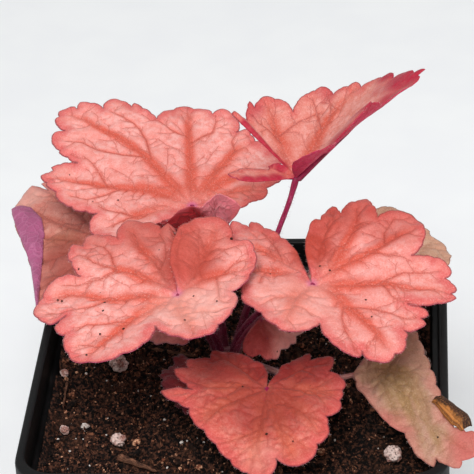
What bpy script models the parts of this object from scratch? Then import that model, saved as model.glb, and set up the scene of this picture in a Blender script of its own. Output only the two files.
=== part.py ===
"""A heuchera in a square nursery pot: pot, soil, crown with its leaf stalks, and twelve lobed leaf blades.

The frame is metres with +Z up. The origin is the centre of the pot's bottom face, +X is to the
right and -Y is towards the viewer. Sizes below are millimetres and degrees.
"""
import math

import bmesh
import bpy
import numpy as np
from mathutils import Matrix, Vector, geometry, noise

MM = 0.001
COLLECTION = "heuchera_plant"

# Square pot: outside width at the rim and at the base, height, wall, rim, softened edges,
# corner radius as a share of the half width, and the drainage holes
POT_TOP = 114.0
POT_BASE = 82.0
POT_HEIGHT = 95.0
POT_WALL = 1.3
POT_FLOOR = 1.8
RIM_BAND = 10.0
RIM_STEP = 1.6
RIM_LIP = 2.4
POT_SOFT = 0.6
POT_CORNER = 0.13
CORNER_STEPS = 5
DRAIN_RADIUS = 4.0
DRAIN_REACH = 27.0

# Soil: level under the rim, clearance to the pot, height of its relief and of the mound
# round the crown, the mound's reach, cells across, and the margin of the level patches
SOIL_LEVEL = 85.0
SOIL_GAP = 0.35
SOIL_RELIEF = 1.8
SOIL_MOUND = 1.5
MOUND_REACH = 22.0
SOIL_CELLS = 32
LEVEL_MARGIN = 4.5
LEVEL_BLEND = 3.0
REST_GAP = 0.3

# Crown: place in the soil, radius, height above the soil, depth, and the hole it stands in
CROWN_X = -5.0
CROWN_Y = 6.0
CROWN_RADIUS = 5.0
CROWN_TOP = 6.0
CROWN_ROOT = 8.0
CROWN_HOLE_GAP = 0.6

# Leaf stalks: radius at the crown and under the blade, and the air left under the blade
STALK_BASE = 1.15
STALK_END = 0.75
STALK_POINTS = 10
STALK_AIR = 0.4

# Blades: thickness, depth of the notch between two teeth, points along one tooth, how round
# a lobe and a tooth are, steps from the joint to the margin, and how far a curl takes
BLADE = 0.8
TOOTH_DEPTH = 1.5
TOOTH_PARTS = (0.0, 0.22, 0.5, 0.78)
LOBE_ROUND = 2.4
TOOTH_ROUND = 2.2
BLADE_STEPS = 14
CURL_SPAN = 6.0

# Colours as linear red, green, blue
CORAL = (0.80, 0.17, 0.13)
CORAL_DARK = (0.50, 0.05, 0.05)
FADED = (0.52, 0.22, 0.17)
TAN = (0.47, 0.28, 0.19)
MAGENTA = (0.36, 0.04, 0.09)
STALK = (0.22, 0.02, 0.07)
BLACK = (0.012, 0.012, 0.014)
EARTH = (0.030, 0.015, 0.010)
GRAIN = (0.55, 0.40, 0.38)
TWIG = (0.16, 0.09, 0.05)

# Each blade: where its stalk joins (x, y, z), its colour, and its lobes in order round the
# joint. A lobe is: heading, reach and extra lift of the notch before it; then heading, reach,
# lift and droop of its tip, and its number of teeth. "end" closes the last lobe.
# "curls" are places where the margin rolls over: heading, distance from the joint, angle.
LEAVES = {
    "leaf_back_left": dict(
        joint=(-15.4, 38.5, 118.0), colour=CORAL, step=7.0,
        lobes=(
            (-20, 3, 0, 17, 22, -2, 8, 3),
            (25, 23, 1, 40, 31, 0, 8, 3),
            (52, 29, 1, 67, 37, 8, 8, 4),
            (84, 38, 1, 98, 41, 13, 8, 4),
            (111, 38, 1, 121, 48, 13, 8, 3),
            (130, 48, 1, 143, 54, 10, 8, 5),
            (154, 39, 1, 166, 46, 3, 8, 5),
            (184, 27, 1, 206, 24, -4, 6, 4),
        ),
        end=(237, 3, 0), curls=()),
    "leaf_back_right": dict(
        joint=(15.8, 17.7, 140.0), colour=CORAL, step=6.5,
        lobes=(
            (-100, 3, 0, -62, 26, 45, 4, 3),
            (-42, 24, 0, -20, 35, 51, 4, 4),
            (-2, 33, 0, 14, 44, 38, 8, 5),
            (46, 31, 0, 56, 32, 30, 4, 2),
            (66, 29, 0, 77, 30, 26, 4, 3),
            (94, 22, 1, 112, 27, 25, 4, 4),
            (124, 25, 0, 135, 25, 27, 4, 2),
            (153, 3, 20, 162, 3, 15, 4, 1),
            (172, 3, 0, 196, 19, 5, 4, 3),
        ),
        end=(214, 3, 0), curls=()),
    "leaf_front_left": dict(
        joint=(-14.1, -21.3, 128.0), colour=CORAL, step=6.5,
        lobes=(
            (97, 3, 4, 114, 32, 7, 4, 3),
            (127, 28, 1, 142, 37, 3, 6, 4),
            (163, 29, 2, 181, 38, -4, 8, 5),
            (194, 30, 1, 226, 35, -4, 8, 6),
            (253, 16, 3, 294, 23, 4, 4, 6),
            (354, 16, 3, 390, 24, 8, 4, 3),
            (404, 25, 1, 426, 30, 12, 4, 4),
        ),
        end=(452, 3, 4), curls=()),
    "leaf_front_right": dict(
        joint=(20.9, -13.4, 126.0), colour=CORAL, step=6.5,
        lobes=(
            (106, 3, 3, 126, 36, 2, 6, 4),
            (146, 30, 1, 163, 28, 1, 6, 3),
            (181, 19, 2, 243, 22, 0, 4, 6),
            (279, 18, 2, 304, 32, -11, 6, 5),
            (328, 29, 0, 335, 31, -8, 6, 2),
            (346, 27, 2, 359, 38, -3, 6, 4),
            (381, 28, 2, 398, 36, 9, 6, 4),
            (414, 28, 2, 425, 33, 13, 6, 3),
            (435, 28, 1, 443, 28, 12, 4, 3),
        ),
        end=(458, 3, 3), curls=()),
    "leaf_front_low": dict(
        joint=(9.1, -32.7, 106.0), colour=CORAL_DARK, step=6.5,
        lobes=(
            (89, 3, 2, 138, 23, 2, 6, 5),
            (157, 23, 0, 177, 27, -2, 6, 3),
            (203, 21, 2, 215, 23, -5, 6, 2),
            (228, 23, 0, 262, 30, -14, 6, 4),
            (277, 24, 2, 289, 27, -12, 6, 3),
            (306, 24, 0, 316, 22, -9, 6, 2),
            (328, 18, 2, 355, 20, -4, 6, 4),
            (382, 18, 1, 400, 19, 2, 4, 3),
        ),
        end=(438, 3, 2), curls=()),
    "leaf_left_old": dict(
        joint=(-40.0, 38.0, 106.0), colour=FADED, step=4.5,
        lobes=(
            (-10, 3, 0, 25, 18, -2, 6, 3),
            (52, 16, 1, 85, 27, 0, 6, 4),
            (108, 27, 2, 127, 44, -3, 6, 3),
            (134, 40, 0, 145, 41, -6, 6, 2),
            (151, 38, 0, 161, 40, -10, 4, 2),
            (172, 32, 0, 186, 33, -16, 4, 2),
            (200, 30, 0, 218, 32, -17, 4, 2),
            (232, 23, 1, 252, 21, -10, 4, 3),
        ),
        end=(292, 3, 0),
        curls=((140, 44, 0), (150, 31, 125), (165, 25, 125), (180, 22, 125), (205, 22, 125), (221, 26, 120),
               (232, 30, 0))),
    "leaf_right_front_old": dict(
        joint=(31.4, -19.7, 101.0), colour=TAN, step=6.0,
        lobes=(
            (-66, 2.5, 0, -55, 37, -9, 8, 4),
            (-52, 35, 0, -43, 43, -7, 8, 3),
            (-35, 38, 1, -31, 35, -2, 6, 2),
            (-27, 27, 2, 5, 20, 5, 6, 4),
            (30, 19, 2, 50, 22, 8, 6, 2),
        ),
        end=(76, 2.5, 0), curls=()),
    "leaf_right_back_old": dict(
        joint=(24.0, 22.0, 112.0), colour=TAN, step=6.5,
        lobes=(
            (-128, 3, 0, -90, 20, -5, 6, 3),
            (-68, 18, 1, -35, 25, -10, 6, 4),
            (-10, 25, 1, 19, 36, -10, 8, 4),
            (29, 33, 1, 40, 34, -7, 8, 3),
            (50, 32, 1, 57, 31, -2, 6, 2),
            (66, 16, 1, 84, 11, 0, 6, 3),
            (106, 8, 1, 130, 8, 0, 6, 3),
        ),
        end=(165, 3, 0), curls=()),
    "leaf_centre_young": dict(
        joint=(-8.0, 20.0, 117.5), colour=MAGENTA, step=4.5,
        lobes=(
            (138, 2.5, 0, 168, 13, 18, 6, 3),
            (188, 12, 0, 209, 17, 40, 6, 3),
            (224, 15, 0, 242, 19, 64, 6, 3),
            (260, 18, 0, 286, 22, 71, 6, 3),
            (306, 19, 0, 322, 22, 63, 6, 3),
        ),
        end=(366, 2.5, 0), curls=()),
    "leaf_centre_low": dict(
        joint=(6.0, -3.0, 108.0), colour=FADED, step=5.0,
        lobes=(
            (-138, 2.5, 0, -108, 12, -30, 10, 2),
            (-90, 11, 0, -70, 13, -34, 10, 2),
            (-54, 11, 0, -34, 12, -24, 8, 2),
            (-20, 11, 0, 6, 13, -14, 8, 3),
        ),
        end=(55, 2.5, 0), curls=()),
    "leaf_left_low": dict(
        joint=(-14.0, -3.0, 108.0), colour=FADED, step=5.0,
        lobes=(
            (100, 2.5, 0, 140, 10, -4, 8, 3),
            (170, 9, 0, 196, 11, -7, 8, 2),
            (210, 11, 0, 222, 13, -10, 8, 2),
            (236, 11, 0, 258, 10, -15, 8, 3),
        ),
        end=(298, 2.5, 0), curls=()),
    "leaf_front_under": dict(
        joint=(-8.5, -21.9, 99.0), colour=CORAL_DARK, step=5.0,
        lobes=(
            (104, 2.5, 0, 122, 16, 0, 6, 3),
            (134, 13, 0, 152, 14, -1, 6, 3),
            (166, 12, 0, 190, 12, -4, 6, 3),
            (218, 10, 0, 262, 12, -8, 6, 4),
            (300, 9, 0, 335, 8, -4, 6, 2),
        ),
        end=(410, 2.5, 0), curls=()),
}

# Each stalk: heading that it comes from under the blade, steepness there, and how upright it
# leaves the crown (0 is straight for the blade, 1 is straight up)
STALKS = {
    "leaf_back_left": (-72, 35, 0.5),
    "leaf_back_right": (215, 72, 0.4),
    "leaf_front_left": (85, 45, 0.6),
    "leaf_front_right": (108, 35, 0.8),
    "leaf_front_low": (112, 50, 0.0),
    "leaf_left_old": (-42, 12, 0.5),
    "leaf_right_front_old": (192, 12, 0.0),
    "leaf_right_back_old": (215, 30, 0.3),
    "leaf_centre_young": (265, 75, 0.5),
    "leaf_centre_low": (120, 45, 0.4),
    "leaf_left_low": (48, 50, 0.5),
    "leaf_front_under": (80, 20, 0.0),
}

# Perlite grains on the soil: x, y and radius
GRAINS = (
    (-35.5, 5.3, 2.6),
    (-50.6, 1.5, 1.2),
    (-47.4, -24.9, 1.3),
    (-32.1, -29.6, 2.0),
    (42.1, -36.1, 2.4),
    (50.2, 11.3, 1.0),
)

# Twigs on the soil: both ends and radius
TWIGS = (
    (-49.5, -2.5, -49.0, -14.5, 0.55),
    (-31.6, -36.5, -20.5, -43.0, 0.8),
    (-27.0, 13.5, -13.5, 9.5, 0.5),
)


def smooth(value):
    """An S-shaped step from 0 to 1."""
    t = np.clip(value, 0.0, 1.0)
    return t * t * (3.0 - 2.0 * t)


def new_material(name, colour, roughness):
    material = bpy.data.materials.new(name)
    material.use_nodes = True
    shader = material.node_tree.nodes["Principled BSDF"]
    shader.inputs["Base Color"].default_value = (*colour, 1.0)
    shader.inputs["Roughness"].default_value = roughness
    shader.inputs["Metallic"].default_value = 0.0
    return material


def add_object(name, bm, collection, material=None):
    """Make an object from a bmesh whose coordinates are millimetres."""
    bmesh.ops.scale(bm, vec=(MM, MM, MM), verts=bm.verts)
    mesh = bpy.data.meshes.new(name)
    bm.to_mesh(mesh)
    bm.free()
    obj = bpy.data.objects.new(name, mesh)
    collection.objects.link(obj)
    if material is not None:
        mesh.materials.append(material)
    return obj


def mark_cutter(obj):
    obj.hide_render = True
    obj.display_type = "WIRE"


def add_boolean(obj, cutter, operation):
    modifier = obj.modifiers.new(operation.title(), "BOOLEAN")
    modifier.operation = operation
    modifier.object = cutter
    modifier.solver = "EXACT"


def apply_modifiers(obj):
    """Replace an object's mesh by what its modifiers make of it."""
    depsgraph = bpy.context.evaluated_depsgraph_get()
    mesh = bpy.data.meshes.new_from_object(obj.evaluated_get(depsgraph))
    obj.modifiers.clear()
    obj.data = mesh


def square_tower(profile):
    """A closed solid with rounded corners, through each (half width, height) in turn."""
    bm = bmesh.new()
    bmesh.ops.create_grid(bm, x_segments=1, y_segments=1, size=1.0)
    bmesh.ops.bevel(bm, geom=bm.verts[:], offset=POT_CORNER, segments=CORNER_STEPS,
                    affect="VERTICES", profile=0.5)
    bm.faces.ensure_lookup_table()
    face = bm.faces[0]
    width = 1.0
    for level, (half, height) in enumerate(profile):
        if level > 0:
            made = bmesh.ops.extrude_face_region(bm, geom=[face])["geom"]
            if level > 1:
                bmesh.ops.delete(bm, geom=[face], context="FACES_ONLY")
            face = next(item for item in made if isinstance(item, bmesh.types.BMFace))
        for vert in face.verts:
            vert.co = Vector((vert.co.x * half / width, vert.co.y * half / width, height))
        width = half
    bmesh.ops.recalc_face_normals(bm, faces=bm.faces[:])
    return bm


def pot_half_width(height):
    """Half the pot's outside width at a height, below its rim band."""
    low = POT_BASE / 2
    high = POT_TOP / 2 - RIM_STEP
    return low + (high - low) * height / POT_HEIGHT


def make_pot(collection, cutters):
    """Tapered walls with a stepped rim band, and drainage holes through the floor."""
    band = POT_HEIGHT - RIM_BAND
    top = POT_TOP / 2
    inner_top = top - RIM_LIP
    profile = (
        (pot_half_width(0.0) - POT_SOFT, 0.0),
        (pot_half_width(POT_SOFT), POT_SOFT),
        (pot_half_width(band), band),
        (top - POT_SOFT, band + POT_SOFT),
        (top, POT_HEIGHT - POT_SOFT),
        (top - POT_SOFT, POT_HEIGHT),
        (inner_top + POT_SOFT, POT_HEIGHT),
        (inner_top, POT_HEIGHT - POT_SOFT),
        (pot_half_width(band) - POT_WALL, band),
        (pot_half_width(POT_FLOOR) - POT_WALL, POT_FLOOR),
    )
    pot = add_object("pot", square_tower(profile), collection, new_material("black_plastic", BLACK, 0.45))
    bm = bmesh.new()
    spots = [(x, y) for x in (-1, 0, 1) for y in (-1, 0, 1) if x or y]
    for x, y in spots:
        place = Matrix.Translation((x * DRAIN_REACH, y * DRAIN_REACH, POT_FLOOR / 2))
        bmesh.ops.create_cone(bm, cap_ends=True, segments=16, radius1=DRAIN_RADIUS, radius2=DRAIN_RADIUS,
                              depth=POT_FLOOR * 3, matrix=place)
    holes = add_object("drain_cutter", bm, cutters)
    mark_cutter(holes)
    add_boolean(pot, holes, "DIFFERENCE")
    return pot


def resting_spots():
    """Patches where the soil is level so that what lies on it rests flat."""
    spots = [(x, y, x, y, radius + LEVEL_MARGIN) for x, y, radius in GRAINS]
    spots += [(x0, y0, x1, y1, radius + LEVEL_MARGIN) for x0, y0, x1, y1, radius in TWIGS]
    return spots


def soil_height(x, y):
    """Crumbly relief of the soil's surface, level under grains and twigs."""
    place = Vector((x, y, 0.0))
    bumps = noise.noise(place / 11.0) + 0.6 * noise.noise(place / 5.0) + 0.4 * noise.noise(place / 2.7)
    away = math.hypot(x - CROWN_X, y - CROWN_Y)
    height = SOIL_LEVEL + SOIL_RELIEF * bumps + SOIL_MOUND * math.exp(-(away / MOUND_REACH) ** 2)
    for x0, y0, x1, y1, reach in resting_spots():
        run = Vector((x1 - x0, y1 - y0))
        along = 0.0
        if run.length > 0:
            along = max(0.0, min(1.0, Vector((x - x0, y - y0)).dot(run) / run.length_squared))
        gap = math.hypot(x - x0 - run.x * along, y - y0 - run.y * along)
        level = float(smooth((reach + LEVEL_BLEND - gap) / LEVEL_BLEND))
        height += (SOIL_LEVEL - height) * level
    return height


def make_soil(collection, cutters):
    """A tapered block with a crumbly top and a plain hole for the crown."""
    low = POT_FLOOR + SOIL_GAP
    top = POT_HEIGHT - 1.0
    inside = POT_WALL + SOIL_GAP
    profile = ((pot_half_width(low) - inside, low), (pot_half_width(top) - inside, top))
    soil = add_object("soil", square_tower(profile), collection, new_material("potting_mix", EARTH, 0.95))
    bm = bmesh.new()
    half = POT_TOP / 2 + 1.0
    bmesh.ops.create_grid(bm, x_segments=SOIL_CELLS, y_segments=SOIL_CELLS, size=half)
    rim = [edge for edge in bm.edges if edge.is_boundary]
    for vert in bm.verts:
        vert.co.z = soil_height(vert.co.x, vert.co.y)
    bmesh.ops.triangulate(bm, faces=bm.faces[:])
    made = bmesh.ops.extrude_edge_only(bm, edges=rim)["geom"]
    lower = [item for item in made if isinstance(item, bmesh.types.BMVert)]
    for vert in lower:
        vert.co.z = -2.0
    ring = [item for item in made
            if isinstance(item, bmesh.types.BMEdge) and all(vert in lower for vert in item.verts)]
    bmesh.ops.edgeloop_fill(bm, edges=ring)
    bmesh.ops.recalc_face_normals(bm, faces=bm.faces[:])
    relief = add_object("soil_relief_cutter", bm, cutters)
    bm = bmesh.new()
    depth = CROWN_ROOT + 12.0
    middle = SOIL_LEVEL - CROWN_ROOT - 1.0 + depth / 2
    bmesh.ops.create_cone(bm, cap_ends=True, segments=24, radius1=CROWN_RADIUS + CROWN_HOLE_GAP,
                          radius2=CROWN_RADIUS + CROWN_HOLE_GAP, depth=depth,
                          matrix=Matrix.Translation((CROWN_X, CROWN_Y, middle)))
    hole = add_object("crown_hole_cutter", bm, cutters)
    for cutter in (relief, hole):
        mark_cutter(cutter)
    add_boolean(soil, relief, "INTERSECT")
    add_boolean(soil, hole, "DIFFERENCE")
    return soil


def lobe_rows(leaf):
    """The lobes with the notch that follows each: (notch, tip, next notch)."""
    lobes = leaf["lobes"]
    notches = [row[:3] for row in lobes] + [leaf["end"]]
    return [(notches[i], lobes[i][3:], notches[i + 1]) for i in range(len(lobes))]


def blade_margin(leaf):
    """The toothed outline as (heading, distance) pairs in order round the joint."""
    points = []
    for before, tip, after in lobe_rows(leaf):
        teeth = tip[4]
        for tooth in range(teeth):
            for part in TOOTH_PARTS:
                t = (tooth + part) / teeth
                if tooth == 0 and part == 0.0:
                    points.append((before[0], before[1]))
                    continue
                heading = before[0] + (after[0] - before[0]) * t
                side = before if heading < tip[0] else after
                away = abs((heading - tip[0]) / (side[0] - tip[0]))
                reach = side[1] + (tip[1] - side[1]) * (1.0 - away ** LOBE_ROUND)
                inset = TOOTH_DEPTH * abs(2.0 * part - 1.0) ** TOOTH_ROUND
                points.append((heading, reach - inset))
    points.append((leaf["end"][0], leaf["end"][1]))
    return points


def blend_by_heading(headings, knots, values):
    """Values at headings, easing smoothly from knot to knot."""
    index = np.clip(np.searchsorted(knots, headings, side="right") - 1, 0, len(knots) - 2)
    start = knots[index]
    t = smooth((headings - start) / (knots[index + 1] - start))
    return values[index] + (values[index + 1] - values[index]) * t


def blade_surface(leaf, headings, distances):
    """Places on the blade, in millimetres, for headings and distances along the surface.

    From the joint the surface runs out at the lobe's lift and droops evenly. It rolls over
    where the leaf has a curl.
    """
    tips = np.array([row[3:] for row in leaf["lobes"]], dtype=float)
    notches = np.array([row[:3] for row in leaf["lobes"]] + [leaf["end"]], dtype=float)
    lift = blend_by_heading(headings, tips[:, 0], tips[:, 2])
    droop = blend_by_heading(headings, tips[:, 0], tips[:, 3])
    knots = np.sort(np.concatenate([tips[:, 0], notches[:, 0]]))
    rises = np.zeros(len(knots))
    rises[0::2] = notches[:, 2]
    lift = lift + blend_by_heading(headings, knots, rises)
    long_reach = tips[:, 1].max()
    curls = np.array([(heading, place, angle) for heading, place, angle in leaf["curls"]], dtype=float)
    radius = np.zeros(len(headings))
    height = np.zeros(len(headings))
    for step in range(BLADE_STEPS):
        run = distances * (step + 0.5) / BLADE_STEPS
        slope = lift + droop * (0.5 - run / long_reach)
        if len(curls):
            place = blend_by_heading(headings, curls[:, 0], curls[:, 1])
            angle = blend_by_heading(headings, curls[:, 0], curls[:, 2])
            inside = (headings > curls[0, 0]) & (headings < curls[-1, 0])
            slope = slope + np.where(inside, angle, 0.0) * np.clip((run - place) / CURL_SPAN, 0.0, 1.0)
        radius += np.cos(np.radians(slope)) * distances / BLADE_STEPS
        height += np.sin(np.radians(slope)) * distances / BLADE_STEPS
    angle = np.radians(headings)
    x, y, z = leaf["joint"]
    return np.stack([x + radius * np.cos(angle), y + radius * np.sin(angle), z + height], axis=1)


def blade_points(leaf):
    """The margin, then the joint, then points inside the margin on rings round the joint."""
    margin = blade_margin(leaf)
    headings = np.array([heading for heading, _ in margin], dtype=float)
    reaches = np.array([reach for _, reach in margin], dtype=float)
    step = leaf["step"]
    inner = []
    ring = 1
    while ring * step < reaches.max():
        distance = ring * step
        count = max(2, int(math.radians(headings[-1] - headings[0]) * distance / step))
        for i in range(count):
            heading = headings[0] + (headings[-1] - headings[0]) * (i + 0.5) / count
            if distance < np.interp(heading, headings, reaches) - 0.45 * step:
                inner.append((heading, distance))
        ring += 1
    return margin + [(headings.mean(), 0.0)], inner


def make_blade(name, leaf, collection):
    """One lobed blade: its outline filled with triangles, shaped by its lobes, then thickened."""
    outline, inner = blade_points(leaf)
    places = outline + inner
    flat = [Vector((d * math.cos(math.radians(h)), d * math.sin(math.radians(h)))) for h, d in places]
    edges = [(i, (i + 1) % len(outline)) for i in range(len(outline))]
    _, _, faces, sources, _, _ = geometry.delaunay_2d_cdt(flat, edges, [], 1, 1e-5)
    order = [origin[0] for origin in sources]
    headings = np.array([places[i][0] for i in order])
    distances = np.array([places[i][1] for i in order])
    solid = blade_surface(leaf, headings, distances)
    bm = bmesh.new()
    verts = [bm.verts.new(place) for place in solid.tolist()]
    for face in faces:
        bm.faces.new([verts[i] for i in face])
    blade = add_object(name, bm, collection, new_material(name, leaf["colour"], 0.5))
    blade.data.shade_smooth()
    thick = blade.modifiers.new("Thickness", "SOLIDIFY")
    thick.thickness = BLADE * MM
    thick.offset = 0.0
    return blade


def stalk_path(name, leaf):
    """Points from the crown to just under the blade's joint, on one smooth curve."""
    heading, steep, upright = STALKS[name]
    joint = Vector(leaf["joint"])
    start = Vector((CROWN_X, CROWN_Y, SOIL_LEVEL + 0.5 * CROWN_TOP))
    away = Vector((joint.x - start.x, joint.y - start.y, 0.0))
    start += away.normalized() * 0.45 * CROWN_RADIUS
    below = BLADE / 2 + STALK_AIR + STALK_END * math.cos(math.radians(steep))
    end = joint - Vector((0.0, 0.0, below))
    length = (end - start).length
    arrive = Vector((-math.cos(math.radians(heading)) * math.cos(math.radians(steep)),
                     -math.sin(math.radians(heading)) * math.cos(math.radians(steep)),
                     math.sin(math.radians(steep))))
    leave = (end - start).normalized().lerp(Vector((0.0, 0.0, 1.0)), upright).normalized()
    near = start + leave * 0.38 * length
    far = end - arrive * 0.34 * length
    points = []
    for i in range(STALK_POINTS):
        t = i / (STALK_POINTS - 1)
        u = 1.0 - t
        points.append(start * u ** 3 + near * 3 * u * u * t + far * 3 * u * t * t + end * t ** 3)
    return points


def make_tube(name, points, radii, collection, resolution):
    """A round tube through the points, as a closed mesh."""
    curve = bpy.data.curves.new(name, "CURVE")
    curve.dimensions = "3D"
    curve.bevel_depth = MM
    curve.bevel_resolution = resolution
    curve.use_fill_caps = True
    spline = curve.splines.new("POLY")
    spline.points.add(len(points) - 1)
    for knot, place, radius in zip(spline.points, points, radii):
        knot.co = (place.x * MM, place.y * MM, place.z * MM, 1.0)
        knot.radius = radius
    guide = bpy.data.objects.new(name + "_guide", curve)
    collection.objects.link(guide)
    depsgraph = bpy.context.evaluated_depsgraph_get()
    mesh = bpy.data.meshes.new_from_object(guide.evaluated_get(depsgraph))
    tube = bpy.data.objects.new(name, mesh)
    tube.matrix_world = guide.matrix_world
    collection.objects.link(tube)
    bpy.data.objects.remove(guide)
    bm = bmesh.new()
    bm.from_mesh(mesh)
    bmesh.ops.remove_doubles(bm, verts=bm.verts[:], dist=0.00001)
    bmesh.ops.recalc_face_normals(bm, faces=bm.faces[:])
    bm.to_mesh(mesh)
    bm.free()
    return tube


def make_crown(collection, cutters):
    """The crown with every leaf stalk grown out of it, as one solid."""
    bm = bmesh.new()
    bmesh.ops.create_uvsphere(bm, u_segments=16, v_segments=10, radius=1.0)
    for vert in bm.verts:
        bump = 1.0 - 0.12 * (0.5 + 0.5 * noise.noise(vert.co * 2.3))
        tall = CROWN_TOP if vert.co.z > 0 else CROWN_ROOT
        wide = CROWN_RADIUS * bump
        vert.co = Vector((CROWN_X + vert.co.x * wide, CROWN_Y + vert.co.y * wide,
                          SOIL_LEVEL + vert.co.z * tall))
    crown = add_object("crown", bm, collection, new_material("stalks", STALK, 0.6))
    joined = bpy.data.collections.new("stalks_to_join")
    bpy.context.scene.collection.children.link(joined)
    for name, leaf in LEAVES.items():
        points = stalk_path(name, leaf)
        last = len(points) - 1
        radii = [STALK_BASE + (STALK_END - STALK_BASE) * smooth(1.6 * i / last) for i in range(last + 1)]
        make_tube("stalk_" + name, points, radii, joined, 2)
    union = crown.modifiers.new("Join", "BOOLEAN")
    union.operation = "UNION"
    union.operand_type = "COLLECTION"
    union.collection = joined
    union.solver = "EXACT"
    apply_modifiers(crown)
    for obj in list(joined.objects):
        bpy.data.objects.remove(obj)
    bpy.data.collections.remove(joined)
    return crown


def make_grain(number, x, y, radius, collection, material):
    """A knobbly grain with a flat underside, resting on the level soil."""
    bm = bmesh.new()
    bmesh.ops.create_icosphere(bm, subdivisions=2, radius=radius)
    rest = SOIL_LEVEL + REST_GAP
    for vert in bm.verts:
        lump = 1.0 + 0.30 * noise.noise(vert.co * 1.1 / radius + Vector((number * 7.0, 0.0, 0.0)))
        vert.co = vert.co * lump + Vector((x, y, rest + 0.55 * radius))
        vert.co.z = max(vert.co.z, rest)
    return add_object("perlite_%d" % number, bm, collection, material)


def make_twig(number, ends, collection, material):
    """A slightly crooked dry twig lying on the level soil."""
    x0, y0, x1, y1, radius = ends
    count = 7
    points = []
    radii = []
    for i in range(count):
        t = i / (count - 1)
        sway = 0.9 * noise.noise(Vector((t * 3.0, number * 5.0, 0.0)))
        run = Vector((x1 - x0, y1 - y0, 0.0))
        side = Vector((-run.y, run.x, 0.0)).normalized()
        points.append(Vector((x0, y0, SOIL_LEVEL + REST_GAP + radius)) + run * t + side * sway)
        radii.append(radius * (1.0 - 0.35 * t))
    twig = make_tube("twig_%d" % number, points, radii, collection, 2)
    twig.data.materials.append(material)
    return twig


def main():
    for obj in list(bpy.data.objects):
        bpy.data.objects.remove(obj)
    collection = bpy.data.collections.new(COLLECTION)
    cutters = bpy.data.collections.new("cutters")
    bpy.context.scene.collection.children.link(collection)
    bpy.context.scene.collection.children.link(cutters)
    make_pot(collection, cutters)
    make_soil(collection, cutters)
    make_crown(collection, cutters)
    for name, leaf in LEAVES.items():
        make_blade(name, leaf, collection)
    grain = new_material("perlite", GRAIN, 0.9)
    for number, (x, y, radius) in enumerate(GRAINS, start=1):
        make_grain(number, x, y, radius, collection, grain)
    twig = new_material("twig", TWIG, 0.85)
    for number, ends in enumerate(TWIGS, start=1):
        make_twig(number, ends, collection, twig)


main()
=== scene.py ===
"""A heuchera in its square nursery pot: fine leaves, stalks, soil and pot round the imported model.

Places and sizes are millimetres in the part's frame and become metres when a mesh is made.
"""
import math

import bmesh
import bpy
import numpy as np
from mathutils import Matrix, Vector, geometry, noise


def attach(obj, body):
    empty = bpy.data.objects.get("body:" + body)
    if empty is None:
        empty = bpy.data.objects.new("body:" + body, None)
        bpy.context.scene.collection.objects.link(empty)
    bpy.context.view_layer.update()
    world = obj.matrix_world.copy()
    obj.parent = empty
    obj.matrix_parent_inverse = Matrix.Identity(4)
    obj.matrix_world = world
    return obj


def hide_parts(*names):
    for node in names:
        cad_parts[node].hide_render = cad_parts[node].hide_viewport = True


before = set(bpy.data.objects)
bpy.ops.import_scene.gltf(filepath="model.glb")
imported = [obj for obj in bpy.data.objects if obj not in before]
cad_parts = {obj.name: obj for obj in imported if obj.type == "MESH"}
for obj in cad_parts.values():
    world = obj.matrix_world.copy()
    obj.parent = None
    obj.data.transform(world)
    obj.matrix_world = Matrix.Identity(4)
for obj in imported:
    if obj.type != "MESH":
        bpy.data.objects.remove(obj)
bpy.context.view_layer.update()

MM = 0.001

# The photograph's camera: focal length in pixels of a 474 pixel frame, aim, distance, angles
FRAME_PIXELS = 474
FOCAL_PIXELS = 2491.47
SENSOR = 36.0
CAMERA_AIM = (-4.873, 57.492, 95.0)
CAMERA_DISTANCE = 740.257
CAMERA_ELEVATION = 32.891
CAMERA_YAW = 5.229
CAMERA_ROLL = -3.142

# Lights and floor, in metres: each light's name, place, size and power
LIGHTS = (
    ("key_light", (-0.08, -0.82, 1.24), 0.6, 15.0),
    ("fill_light", (1.0, -0.5, 0.8), 0.8, 4.0),
)
LIGHT_AIM = (0.0, 0.0, 0.1)
SKY_STRENGTH = 0.5
FLOOR_HALF = 4000.0  # millimetres
FLOOR_GAP = 0.0002

# Pot, as in the CAD source, and the steps of its round corners, sides and drainage holes
POT_TOP = 114.0
POT_BASE = 82.0
POT_HEIGHT = 95.0
POT_WALL = 1.3
POT_FLOOR = 1.8
RIM_BAND = 10.0
RIM_STEP = 1.6
RIM_LIP = 2.4
POT_CORNER = 0.13
CORNER_EXTRA = 1.2
CORNER_PARTS = 10
SIDE_PARTS = 24
DRAIN_RADIUS = 4.0
DRAIN_REACH = 27.0
DRAIN_SIDES = 28

# Soil and crown, as in the CAD source
SOIL_LEVEL = 85.0
SOIL_GAP = 0.35
SOIL_RELIEF = 1.8
SOIL_BUMPS = ((1.0, 11.0), (0.6, 5.0), (0.4, 2.7))
SOIL_MOUND = 1.5
MOUND_REACH = 22.0
LEVEL_MARGIN = 4.5
LEVEL_BLEND = 3.0
REST_GAP = 0.3
CROWN_X = -5.0
CROWN_Y = 6.0
CROWN_RADIUS = 5.0
CROWN_TOP = 6.0
CROWN_ROOT = 8.0

# The visible bed: its mesh, its rounded corners, height and size of its grain, the heap at the
# left wall, and from where on the right crumbs are mostly dark, as painted shade
BED_CELLS = 250
BED_CORNER = 7.5
BED_GRAIN = ((1.2, 1.7), (0.8, 0.8))
BED_DROP = 0.5
SOIL_CEILING = 5.0
HEAP_HEIGHT = 4.0
HEAP_START = 49.0
HEAP_WIDTH = 4.0
SHADED_SIDE = 32.0

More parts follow.
